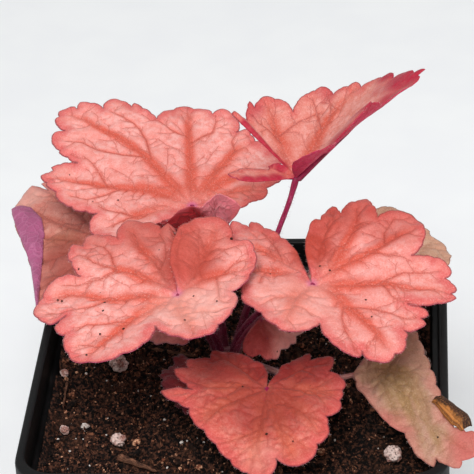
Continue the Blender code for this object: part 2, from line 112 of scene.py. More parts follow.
# Crumbs and fibres: how many, the share of each colour among fine and coarse crumbs, and the
# colours: name, dark and light
SOIL_SEED = 5
CRUMBS = 7600
FINE_KINDS = (0.42, 0.31, 0.25, 0.02)
COARSE_KINDS = (0.72, 0.21, 0.06, 0.01)
FINE_SIZES = (0.12, 0.42)
COARSE_LEAST = 0.35
COARSE_SPREAD = 0.9
CRUMB_LOOKS = (
    ("earth_crumb", (9, 6, 5), (60, 38, 28)),
    ("brown_crumb", (58, 32, 22), (146, 94, 68)),
    ("rust_crumb", (118, 68, 48), (226, 170, 134)),
    ("pale_crumb", (206, 194, 184), (250, 244, 238)),
)
FIBRES = 900
FIBRE_LENGTHS = (1.0, 5.0)
FIBRE_RADII = (0.04, 0.11)
FIBRE_BEND = 0.07
FIBRE_SIDES = 5

# Lumps, perlite grains and twigs
LUMP_BUMP = 0.55
LUMP_GRAIN = 1.6
GRAIN_SWELL = 0.04
TWIG_POINTS = 40
TWIG_SIDES = 12
TWIG_SQUASH = 0.6
CROOKED_TWIG = 2

# Stalks: radii and course as in the CAD source, swelling at the crown, mesh, midrib under the
# blade, hairs for each millimetre, and how far each look's stalk has turned tan
STALK_BASE = 1.15
STALK_END = 0.75
STALK_ROOT = 0.45
LEAVE_REACH = 0.38
ARRIVE_REACH = 0.34
JOINT_DROP = 0.3
STALK_CLASP = 0.9
STALK_SEED = 77
STALK_POINTS = 46
STALK_SIDES = 10
STALK_SWAY = 0.35
RIB_STEPS = 8
RIB_SINK = 0.35
STALK_HAIRS = 9
STALK_HAIR_RADIUS = 0.03
STALK_HAIR_LENGTHS = (0.5, 1.3)
# The crown's tint: a little tan, and darkened as painted shade under the blades.
CROWN_TINT = (0.35, 0.7, 0.0)
OLD_STALKS = {"dying": 0.85, "tan": 0.7, "faded": 0.45, "small": 0.15}

# Blades, as in the CAD source
TOOTH_DEPTH = 1.5
LOBE_ROUND = 2.4
TOOTH_ROUND = 2.2
BLADE_STEPS = 14
LAP_EASE = 0.6
LAP_SPAN = 9.0
LAP_RISE_SPAN = 4.0

# Margins: step along them, the tiny point on each tooth, how much a measured tip is drawn out,
# how far measured stretches swell, and which stretches stay plain
MARGIN_STEP = 0.4
MARGIN_NOISE = 0.03
TOOTH_DEPTHS = (0.7, 1.1)
POINT_LENGTHS = (0.15, 0.4)
POINT_LEAN = 0.06
POINT_WIDTH = 0.07
LEAST_REACH = 0.6
TOOTH_POINT = 0.7
BULGE = 0.11
SOFT_BULGE = 0.04
PLAIN_END = 4.0
PLAIN_LENGTH = 1.2
RADIAL_TURN = 0.4
RADIAL_LENGTH = 2.0

# Sheets: half thickness inside and at the margin, raised veins below, hairs for each edge of the
# margin, and the material numbers
BLADE_SEED = 1000
BLADE_HALF = 0.24
MARGIN_HALF = 0.1
UNDER_RIDGE = 0.32
BLADE_HAIRS = 0.4
DYING_HAIRS = 0.2
BLADE_HAIR_RADIUS = 0.028
BLADE_HAIR_LENGTHS = (0.35, 0.85)
SPECK_SIZES = (0.26, 0.4)
SPECK_GAP = 0.12
TOP, UNDER, HAIR, SPECK = range(4)
FLAP_LONG = 72
FLAP_WIDE = 14
FLAP_HALF = 0.16
HEX_PITCH = 0.866
NEAREST_BATCH = 64

# Veins by order: half widths at both ends, glow and its reach, darkness
VEIN_WIDTHS = {1: (0.36, 0.15), 2: (0.24, 0.13), 3: (0.16, 0.1), 4: (0.11, 0.08)}
VEIN_GLOW = {1: 1.0, 2: 0.62, 3: 0.3, 4: 0.16}
VEIN_REACH = {1: 1.0, 2: 0.6, 3: 0.36, 4: 0.25}
VEIN_INK = {1: 0.34, 2: 0.62, 3: 0.52, 4: 0.42}
VEIN_CORE = 0.45
INK_AT_JOINT = 0.35
INK_SPAN = 24.0
GLOW_AT_JOINT = 3.3
GLOW_SPAN = 18.0
GLOW_FALL = 1.4
LEAST_LOBE = 6.0

# Fine branches: how close they leave each order, how far they run, their angle in degrees, how
# they wander and change sides, and how near another vein or the margin they end
BRANCH_PITCH = {1: 3.4, 2: 2.9, 3: 2.6}
BRANCH_REACH = {1: 1.0, 2: 0.8, 3: 0.5}
BRANCH_STEP = 0.8
BRANCH_LENGTHS = (3.0, 9.0)
BRANCH_ANGLE = (38, 66)
BRANCH_WANDER = 0.2
BRANCH_CURL = 0.05
BRANCH_SWITCH = 0.8
FIRST_BRANCH = (0.6, 1.1)
NEXT_BRANCH = (0.6, 1.4)
MEETING_GAP_SQUARED = 0.16
MARGIN_GAP_SQUARED = 0.8
TRAIL_ROOM = 20000
TRAIL_STEP = 0.35

# Relief: height and width of the flesh's swelling and of the groove on a vein; height, size and
# seed of the broad, fine and marginal unevenness; how far in the marginal one goes
RELIEF_SWELL = (0.5, 1.1)
RELIEF_GROOVE = (0.28, 0.45)
RELIEF_NOISE = ((0.55, 7.0, 3.7), (0.16, 2.2, 9.1), (0.5, 4.2, 1.3))
RIPPLE_FADE = 2.5

# Each blade: where its stalk joins (x, y, z), its look and the size of its mesh cells. "calm"
# scales its relief and "tooth" is the depth of its teeth. "lap" swings the last lobe over the
# first: from and to which heading, turn and rise. "patches" are (kind, heading, distance, radius,
# amount). Kind 0 is deeper red together with painted shade on lobes that lean away from the light
# or lie in the shade of other blades. Kind 1 is bleaching together with painted light on lobes
# that face the light. Kind 2 is drying. "lobes" go in order round the joint, each as heading,
# reach and extra lift of the notch before it, then heading, reach, lift and droop of its tip, and
# its number of teeth. "end" closes the last lobe.
LEAVES = {
    "leaf_back_left": dict(
        joint=(-15.4, 38.5, 118.0), look="coral", cell=0.5,
        patches=((0, 15, 20, 7, 0.55), (0, 5, 14, 6, 0.4), (0, 100, 38, 4, 0.3), (0, 118, 47, 4, 0.2)),
        lobes=((-20, 3, 0, 17, 22, -2, 8, 3), (25, 23, 1, 40, 31, 0, 8, 3),
               (52, 29, 1, 67, 37, 8, 8, 4), (84, 38, 1, 98, 41, 13, 8, 4),
               (111, 38, 1, 121, 48, 13, 8, 3), (130, 48, 1, 143, 54, 10, 8, 5),
               (154, 39, 1, 166, 46, 3, 8, 5), (184, 27, 1, 206, 24, -4, 6, 4)),
        end=(237, 3, 0)),
    "leaf_back_right": dict(
        joint=(15.8, 17.7, 140.0), look="cupped", cell=0.5, calm=0.55,
        patches=((0, 20, 42, 9, 1.0), (0, 36, 39, 4.5, 1.0), (0, 8, 33, 6, 0.95), (0, -5, 22, 4, 0.6),
                 (0, 30, 33, 3, 0.45), (0, 151, 5, 1.8, 1.0), (0, 151, 8, 1.8, 1.0),
                 (0, 151, 11, 1.8, 1.0), (0, 151, 14, 1.8, 1.0), (0, 151, 17, 1.8, 1.0),
                 (0, 151, 20, 1.7, 1.0), (0, 125, 25, 4, 0.45), (0, 70, 29, 4, 0.35),
                 (0, 206, 14, 2.5, 1.0), (0, 208, 10, 2.5, 1.0), (0, 208, 6, 2.5, 1.0),
                 (0, -15, 34, 8, 0.8), (0, -45, 26, 7, 0.8), (1, 6, 28, 6, 0.35), (1, 14, 34, 4, 0.3)),
        lobes=((-100, 3, 0, -62, 26, 45, 4, 3), (-42, 24, 0, -20, 35, 51, 4, 4),
               (-2, 33, 0, 14, 44, 38, 8, 5), (46, 31, 0, 56, 32, 30, 4, 2),
               (66, 29, 0, 77, 30, 26, 4, 3), (94, 22, 1, 112, 27, 25, 4, 4),
               (124, 25, 0, 135, 25, 27, 4, 2), (153, 5, 20, 162, 8, 13, 4, 1),
               (172, 8, 0, 196, 19, 10, 4, 3)),
        end=(214, 3, 0)),
    "leaf_front_left": dict(
        joint=(-14.1, -21.3, 128.0), look="coral", cell=0.5, lap=(420, 453, 15.0, 2.2),
        # Deep patches on the upper lobes, which lean away from the light, are painted shade; bleached
        # patches near the joint at the front are painted light.
        patches=((0, 440, 12, 9, 0.9), (0, 446, 20, 7, 0.8), (0, 425, 26, 8, 0.5),
                 (0, 112, 27, 9, 0.75), (0, 135, 31, 8, 0.5), (0, 120, 16, 6, 0.3),
                 (1, 300, 9, 9, 0.4), (1, 262, 9, 7, 0.3), (1, 340, 12, 7, 0.25)),
        lobes=((97, 3, 4, 114, 32, 7, 4, 3), (127, 28, 1, 142, 37, 3, 6, 4),
               (163, 29, 2, 181, 38, -4, 8, 5), (194, 30, 1, 226, 35, -4, 8, 6),
               (253, 16, 3, 294, 23, 4, 4, 6), (354, 16, 3, 390, 24, 8, 4, 3),
               (404, 25, 1, 426, 30, 12, 4, 4)),
        end=(452, 3, 4)),
    "leaf_front_right": dict(
        joint=(20.9, -13.4, 126.0), look="coral", cell=0.5,
        # Deep patches on the upper lobes, which lean away from the light, are painted shade; bleached
        # patches at the front are painted light.
        patches=((0, 0, 10, 30, 0.14), (0, 452, 13, 7, 1.0), (0, 440, 24, 9, 0.85),
                 (0, 425, 28, 9, 0.75), (0, 404, 30, 9, 0.6), (0, 112, 18, 6, 0.6),
                 (0, 122, 28, 6, 0.5), (1, 250, 9, 9, 0.25), (1, 215, 11, 7, 0.2)),
        lobes=((106, 3, 3, 126, 36, 2, 6, 4), (146, 30, 1, 163, 28, 1, 6, 3),
               (181, 19, 2, 243, 22, 0, 4, 6), (279, 18, 2, 304, 32, -11, 6, 5),
               (328, 29, 0, 335, 31, -8, 6, 2), (346, 27, 2, 359, 38, -3, 6, 4),
               (381, 28, 2, 398, 36, 9, 6, 4), (414, 28, 2, 425, 33, 13, 6, 3),
               (435, 28, 1, 443, 28, 12, 4, 3)),
        end=(458, 3, 3)),
    "leaf_front_low": dict(
        joint=(9.1, -32.7, 106.0), look="low", cell=0.5,
        # Deep patches on the upper lobes paint the shade cast by the blades above, together with their
        # darker red.
        patches=((0, 130, 15, 12, 0.8), (0, 100, 8, 7, 0.9), (0, 160, 16, 7, 0.5),
                 (0, 404, 13, 9, 0.85), (0, 432, 8, 7, 0.95), (0, 380, 16, 7, 0.45),
                 (0, 270, 5, 12, 0.7), (0, 200, 10, 8, 0.4), (0, 330, 10, 8, 0.4),
                 (1, 268, 24, 5, 0.15)),
        lobes=((89, 3, 2, 138, 23, 2, 6, 5), (157, 23, 0, 177, 27, -2, 6, 3),
               (203, 21, 2, 215, 23, -5, 6, 2), (228, 23, 0, 262, 30, -14, 6, 4),
               (277, 24, 2, 289, 27, -12, 6, 3), (306, 24, 0, 316, 22, -9, 6, 2),
               (328, 18, 2, 355, 20, -4, 6, 4), (382, 18, 1, 400, 19, 2, 4, 3)),
        end=(438, 3, 2)),
    "leaf_left_old": dict(
        joint=(-40.0, 38.0, 106.0), look="faded", cell=0.5, tooth=0.5,
        patches=((0, 190, 14, 7, 0.7), (0, 222, 18, 7, 0.7), (1, 136, 41, 6, 0.5),
                 (2, 165, 15, 5, 0.3)),
        lobes=((-10, 3, 0, 25, 18, -2, 6, 3), (52, 16, 1, 85, 27, 0, 6, 4),
               (108, 27, 2, 127, 44, -3, 6, 3), (134, 41, 0, 145, 44, -6, 6, 1),
               (151, 41, 0, 161, 45, -10, 4, 1), (172, 38, 0, 186, 38, -16, 4, 1),
               (200, 36, 0, 218, 37, -17, 4, 1), (232, 24, 1, 252, 21, -10, 4, 3)),
        end=(292, 3, 0)),
    "leaf_right_front_old": dict(
        joint=(31.4, -19.7, 101.0), look="dying", cell=0.5,
        patches=((0, -40, 42, 7, 0.8), (0, -62, 22, 5, 0.4), (2, 40, 14, 8, 0.55), (2, 10, 16, 6, 0.3),
                 (2, -30, 33, 3, 0.6)),
        lobes=((-66, 2.5, 0, -55, 37, -9, 8, 4), (-52, 35, 0, -43, 43, -7, 8, 3),
               (-35, 38, 1, -31, 35, -2, 6, 2), (-27, 27, 2, 5, 20, 5, 6, 4),
               (30, 19, 2, 50, 22, 8, 6, 2)),
        end=(76, 2.5, 0)),
    "leaf_right_back_old": dict(
        joint=(24.0, 22.0, 112.0), look="tan", cell=0.6, tooth=0.6,
        lobes=((-128, 3, 0, -90, 20, -5, 6, 3), (-68, 18, 1, -35, 25, -10, 6, 4),
               (-10, 25, 1, 19, 36, -10, 8, 4), (29, 33, 1, 40, 34, -7, 8, 3),
               (50, 32, 1, 57, 31, -2, 6, 2), (66, 16, 1, 84, 11, 0, 6, 3),
               (106, 8, 1, 130, 8, 0, 6, 3)),
        end=(165, 3, 0)),
    "leaf_centre_young": dict(
        joint=(-8.0, 20.0, 117.5), look="young", cell=0.5, calm=0.1,
        # The deep patches paint the left part in deep shade.
        patches=((0, 165, 11, 9, 1.0), (0, 195, 14, 9, 1.0), (0, 218, 15, 8, 1.0),
                 (0, 236, 15, 6, 1.0), (0, 240, 8, 5, 1.0)),
        lobes=((138, 2.5, 0, 168, 16, 8, 6, 3), (188, 13, 0, 209, 18, 36, 6, 3),
               (224, 17, 0, 242, 19, 62, 6, 3), (260, 18, 0, 286, 20, 71, 6, 3),
               (306, 18, 0, 322, 18, 56, 6, 3)),
        end=(366, 2.5, 0)),
    "leaf_centre_low": dict(
        joint=(6.0, -3.0, 108.0), look="small", cell=0.6, tooth=0.7,
        # The deep patch on the left is painted shade; the bleached patches on the right, where light
        # falls, are painted light.
        patches=((0, -110, 8, 7, 0.9), (1, -10, 10, 6, 0.5), (1, -45, 11, 4, 0.4)),
        lobes=((-138, 2.5, 0, -108, 12, -30, 10, 2), (-90, 11, 0, -70, 13, -34, 10, 2),
               (-54, 11, 0, -34, 12, -24, 8, 2), (-20, 11, 0, 6, 13, -14, 8, 3)),
        end=(55, 2.5, 0)),
    "leaf_left_low": dict(
        joint=(-14.0, -3.0, 108.0), look="small", cell=0.6, tooth=0.7,
        patches=((1, 220, 9, 6, 0.25),),
        lobes=((100, 2.5, 0, 140, 10, -4, 8, 3), (170, 9, 0, 196, 11, -7, 8, 2),
               (210, 11, 0, 222, 13, -10, 8, 2), (236, 11, 0, 258, 10, -15, 8, 3)),
        end=(298, 2.5, 0)),
    "leaf_front_under": dict(
        joint=(-8.5, -21.9, 99.0), look="under", cell=0.6, tooth=1.1,
        lobes=((104, 2.5, 0, 122, 16, 0, 6, 3), (134, 13, 0, 152, 14, -1, 6, 3),
               (166, 12, 0, 190, 12, -4, 6, 3), (218, 10, 0, 262, 12, -8, 6, 4),
               (300, 9, 0, 335, 8, -4, 6, 2)),
        end=(410, 2.5, 0)),
}

# Each stalk: heading that it comes from under the blade, steepness there, and how upright it
# leaves the crown (0 is straight for the blade, 1 is straight up)
STALKS = {
    "leaf_back_left": (-72, 35, 0.5),
    "leaf_back_right": (215, 72, 0.4),
    "leaf_front_left": (85, 45, 0.6),
    "leaf_front_right": (108, 35, 0.8),
    "leaf_front_low": (112, 50, 0.0),
    "leaf_left_old": (-42, 12, 0.5),
    "leaf_right_front_old": (192, 12, 0.0),
    "leaf_right_back_old": (215, 30, 0.3),
    "leaf_centre_young": (265, 75, 0.5),
    "leaf_centre_low": (120, 45, 0.4),
    "leaf_left_low": (48, 50, 0.5),
    "leaf_front_under": (80, 20, 0.0),
}

# Measured outlines, each point a heading and a distance from the joint: the tips of the teeth
# and the notches between them. A blade that is measured in part has the rest from its lobes,
# and a soft one has flatter stretches between its points.
MARGINS = {
    "leaf_back_left": (
        (-20, 3), (-6.8, 13.8), (2.8, 16.2), (9.8, 18.8), (15.8, 22), (22, 22.4), (24.2, 25.4),
        (31.5, 30), (39, 30), (43.5, 33.2), (48.8, 33), (52.8, 34), (59, 32.6), (63, 34), (67.2, 35.4),
        (69.2, 35.2), (70.5, 33.6), (71, 36.6), (75.5, 40.2), (78.8, 41), (83.8, 39.4), (84.5, 38.4),
        (85.8, 39.4), (93, 40), (97.5, 40.6), (102, 40), (105, 40), (108.5, 38.8), (110.8, 37),
        (112, 39.6), (114.5, 42.6), (116.5, 45.2), (118, 45), (118.5, 46.4), (120.2, 48.8),
        (122.2, 50), (126, 49.8), (128.2, 48), (128.2, 49.6), (130, 52.2), (132.2, 54.2),
        (134.5, 53.6), (134.5, 54.6), (136.8, 56.2), (138.8, 56.4), (140.5, 55.2), (142.2, 55.2),
        (144.2, 52.4), (144.8, 49), (147.5, 50.4), (150.5, 50.2), (152.5, 48), (153.5, 45.4),
        (154.2, 45.4), (155, 42), (156, 38.2), (156.8, 40.8), (158.2, 43), (160.2, 44.6),
        (161.2, 44.4), (162.5, 45.2), (165, 46.2), (169, 43.8), (170.8, 43.6), (174.2, 40),
        (178.2, 39.2), (181.2, 37.2), (184, 34.6), (185.5, 34.2), (187.8, 30.6), (190.5, 27.4),
        (193.5, 29.4), (197.5, 30.2), (204.2, 30.2), (213.5, 29), (221.5, 26.4), (225.5, 21.6),
        (227.8, 16.6), (225.5, 10.4), (228.5, 5.8), (243.5, 1.4)),
    "leaf_front_left": (
        (98, 1.4), (96, 13), (93, 21.2), (96, 25.6), (99.8, 27), (104.5, 26.2), (105.2, 28),
        (111.8, 31.6), (118.2, 33.6), (123.2, 32.8), (127.8, 30.4), (129, 28.6), (129.5, 30.6),
        (132, 33.4), (136, 36.2), (139.8, 36), (143, 34.6), (144.8, 36.4), (149, 36.2), (153, 35),
        (156.5, 32.4), (160.8, 30.2), (163.8, 28), (163.5, 30), (165.5, 33), (168, 34.8),
        (172.8, 36.4), (177, 36.6), (181, 37.6), (185.5, 37.8), (192, 37.4), (197, 35.8),
        (199.2, 34.4), (197.8, 32.2), (196, 30), (199.5, 32.6), (203.2, 33.4), (209.2, 32.6),
        (214, 34.2), (221, 35.4), (227.2, 35.6), (234, 34.8), (240, 33.6), (245.5, 30.4), (252, 27.2),
        (253.8, 24.8), (256.2, 20), (254.8, 17), (265, 19.6), (275.2, 22.2), (283.5, 23.4),
        (292.5, 23), (302.5, 21.6), (306.5, 19.8), (315, 19.8), (325.5, 18.8), (333.8, 18.2),
        (344.8, 16.6), (350, 15), (359, 17.4), (372.8, 19.8), (386, 22.6), (397.5, 25), (404.8, 25.6),
        (410.5, 24.8), (414, 23.8), (415.8, 24.2), (421.8, 27.4), (430, 28.8), (435.8, 27.2),
        (442.2, 24), (448, 20.8), (451, 16.8), (452, 13.2), (453, 9.2), (453, 5.2), (453, 1.8)),
    "leaf_front_right": (
        (107, 1.6), (109, 5), (109, 9.6), (108.5, 14), (112, 18.8), (114.8, 21.8), (116.8, 25.6),
        (119.2, 28.8), (122, 33), (125, 31.8), (126.2, 34.2), (128.5, 36.2), (134.5, 33), (146.2, 26),
        (159.8, 21.6), (180.8, 19.4), (191.8, 19), (197.8, 19.2), (207, 19.4), (218.8, 19), (228, 19),
        (233.8, 20.2), (246, 21.4), (257, 22), (265.5, 21), (273.2, 18.8), (279.2, 16.6),
        (279.2, 19.6), (282.5, 22.8), (286.5, 25.8), (292, 28.4), (295.8, 29.4), (300.2, 27.8),
        (299.2, 30.6), (303.2, 32.4), (308.2, 33.4), (313, 33), (316.5, 33.2), (322.5, 31.8),
        (326.8, 30.6), (327.2, 29.6), (330.5, 31.6), (337, 32.4), (338.8, 31.2), (341.5, 32),
        (344.2, 31), (344.5, 28.8), (344.2, 26.6), (345.5, 30.6), (349, 34), (354.2, 37.8),
        (356.8, 37), (359.5, 37.8), (363.2, 37), (365.5, 35.6), (368.2, 36.8), (371.5, 36.6),
        (374.2, 35.6), (375.5, 33.8), (377.5, 31.2), (379, 28.2), (381.8, 31.2), (385, 33),
        (392, 35.6), (398.2, 35.8), (404.5, 35.4), (408.8, 34), (411.5, 31.2), (412, 28.6),
        (414.8, 30.2), (419.5, 32), (424.5, 33.4), (429, 31.6), (431, 31.6), (433.5, 29.2),
        (434, 26.8), (436.5, 28), (440.8, 29.2), (443.8, 27), (446, 23.6), (450, 23.4), (454, 19.8),
        (458, 16), (461, 11.6), (461, 6.8), (460, 2.8)),
    "leaf_front_low": (
        (90, 6.2), (97.8, 8.8), (102.8, 10.6), (110.5, 11.4), (117, 15), (126.2, 18), (131, 19.6),
        (136, 20.8), (143, 19.6), (146.8, 21.6), (149.2, 23.2), (152, 24.4), (157.8, 23.4),
        (159.2, 25.2), (162.2, 25.8), (169, 24.2), (173.8, 21.8), (182, 19.8), (179.5, 22),
        (179, 25.2), (181, 27.6), (193.8, 23.8), (201, 21.6), (212.5, 22.4), (225.5, 22.4),
        (237.8, 23.4), (250.2, 25.8), (256.5, 27.8), (261.8, 28.6), (266.2, 29.8), (271.5, 30),
        (276.8, 28.4), (278, 25.2), (282.5, 27.2), (287.2, 28), (291.8, 28), (296.8, 27.4),
        (303.5, 25.4), (306, 23.8), (313.8, 23.8), (322.8, 20.8), (327.5, 19), (340.2, 20.2),
        (348.8, 19.8), (361, 20), (367, 20.2), (374.2, 19.8), (379.2, 18.6), (381.5, 17.4),
        (395.2, 20.4), (401.2, 18.2), (405, 15.6), (411.8, 16.8), (415, 15.4), (421.2, 11.8),
        (427, 6.8), (434.2, 2.6)),
    "leaf_right_front_old": (
        (-74, 3.2), (-71.8, 8.2), (-66.5, 13.4), (-65, 17.8), (-62.8, 22.2), (-57, 26), (-58.8, 28.4),
        (-59.2, 31.4), (-58.5, 35.6), (-56.5, 38.6), (-53.2, 37.2), (-52, 40.4), (-49.2, 43),
        (-46.8, 42.4), (-42.5, 43.6), (-40, 44), (-36.8, 42.6), (-35.8, 40.2), (-37, 37.6),
        (-37.8, 34), (-36, 30), (-32, 27.4), (-26.2, 26.2), (-16.8, 23.2), (-2, 20.8), (14.8, 20),
        (31, 20.8), (43, 22), (48.8, 18.6), (53, 14.4), (57, 9.4), (60, 3)),
    "leaf_left_old": (
        (125.2, 38.2), (126.2, 41), (127.8, 44.6), (135.8, 42), (144.2, 40), (149.2, 36.2),
        (161, 29.8), (174.2, 25.8), (191.8, 24), (207.5, 25), (221.5, 27.8), (234, 32)),
    "leaf_centre_young": (
        (150, 5.2), (152, 9.4), (150, 13.4), (153, 17), (190, 18.5), (229, 20), (239.5, 19.2),
        (258.2, 18.6), (264, 19.6), (273.2, 20), (285, 20.8), (294, 22), (300, 22.6), (305, 22.6),
        (310.2, 22.2), (316.5, 20.8), (337, 16), (340, 14.8), (342, 13.4), (343, 11.6), (344, 10.2),
        (346, 7.4), (350, 4.4)),
    "leaf_back_right": (
        (14.2, 46.4), (18, 43.2), (22, 42.8), (29.8, 38), (35.8, 38.4), (40.5, 36.8), (44.5, 35.4),
        (46.2, 34.4), (49.5, 32), (55, 32.2), (58.2, 31), (62, 30), (66.2, 27.8), (69.5, 29.2),
        (75.8, 29.6), (79.5, 28.8), (83.2, 27.6), (86, 26.8), (91.2, 24), (93.8, 21.4), (95.5, 23),
        (99.8, 25.4), (105.5, 26.6), (111.5, 27.4), (116.8, 27), (122, 25.2), (122.8, 26.8),
        (127.2, 25.6), (135, 22), (137.5, 23.8), (153, 24.2), (153.2, 19.2), (153.2, 14.2), (153, 9.4),
        (153, 4.8)),
}
PART_TRACED = ("leaf_back_right", "leaf_left_old")
SOFT_TRACED = ("leaf_left_old", "leaf_centre_young")

# Folded-over edges: the fold and the free edge, each a line of (heading, distance) points on the
# blade, how far the flap stands off it, and its upper and lower material
FLAPS = {
    "leaf_left_old": (
        ((143.8, 40.2), (149.2, 36.4), (161, 30), (174.2, 26), (191.8, 24.2), (207.5, 25.2),
         (221.5, 28), (234, 32.2)),
        ((140.2, 39.2), (139.5, 34.6), (145, 27), (157, 22.4), (181.5, 20.6), (204, 22.2), (221, 26.5),
         (235, 32.6)),
        1.5, (1, 0)),
    "leaf_right_front_old": (
        ((-27.5, 25.4), (-29.4, 30.8), (-32.2, 36.2), (-35, 38.4)),
        ((-31, 24.6), (-36, 29.4), (-38, 33), (-38, 36.6)),
        2.4, (4, 4)),
}

# Crumbs of soil fallen on the blades, as (heading, distance)
SPECKS = {
    "leaf_front_left": ((176, 20.8), (190.2, 19.4), (181, 31), (200.2, 20.4), (221, 25.2),
        (229.2, 19.8), (229, 33), (282.2, 14.2), (297.8, 15.4), (330.8, 12.6), (334.2, 5), (415, 23.6),
        (110, 18.2), (159.8, 29.2), (179.8, 32.2)),
    "leaf_front_right": ((163.2, 11.8), (410.2, 21.4), (323.2, 20.2), (338, 15.6), (401.8, 6.4),
        (430.5, 6.2)),
    "leaf_front_low": ((180.5, 6.4), (272.5, 16.6), (292.5, 20.2), (364, 11.4)),
    "leaf_back_left": ((179, 21.4), (181, 28.6), (162.5, 38.4)),
    "leaf_right_front_old": ((-46, 32.8),),
    "leaf_centre_low": ((-20, 9), (-60, 11)),
}

# Perlite grains on the soil: x, y and radius
GRAINS = (
    (-35.5, 5.3, 2.6),
    (-50.6, 1.5, 1.2),
    (-47.4, -24.9, 1.3),
    (-32.1, -29.6, 2.0),
    (42.1, -36.1, 2.4),
    (50.2, 11.3, 1.0),
)

# Twigs on the soil: both ends and radius
TWIGS = (
    (-49.5, -2.5, -49.0, -14.5, 0.55),
    (-31.6, -36.5, -20.5, -43.0, 0.8),
    (-27.0, 13.5, -13.5, 9.5, 0.5),
)
RESTING = tuple((x, y, x, y, radius) for x, y, radius in GRAINS) + TWIGS

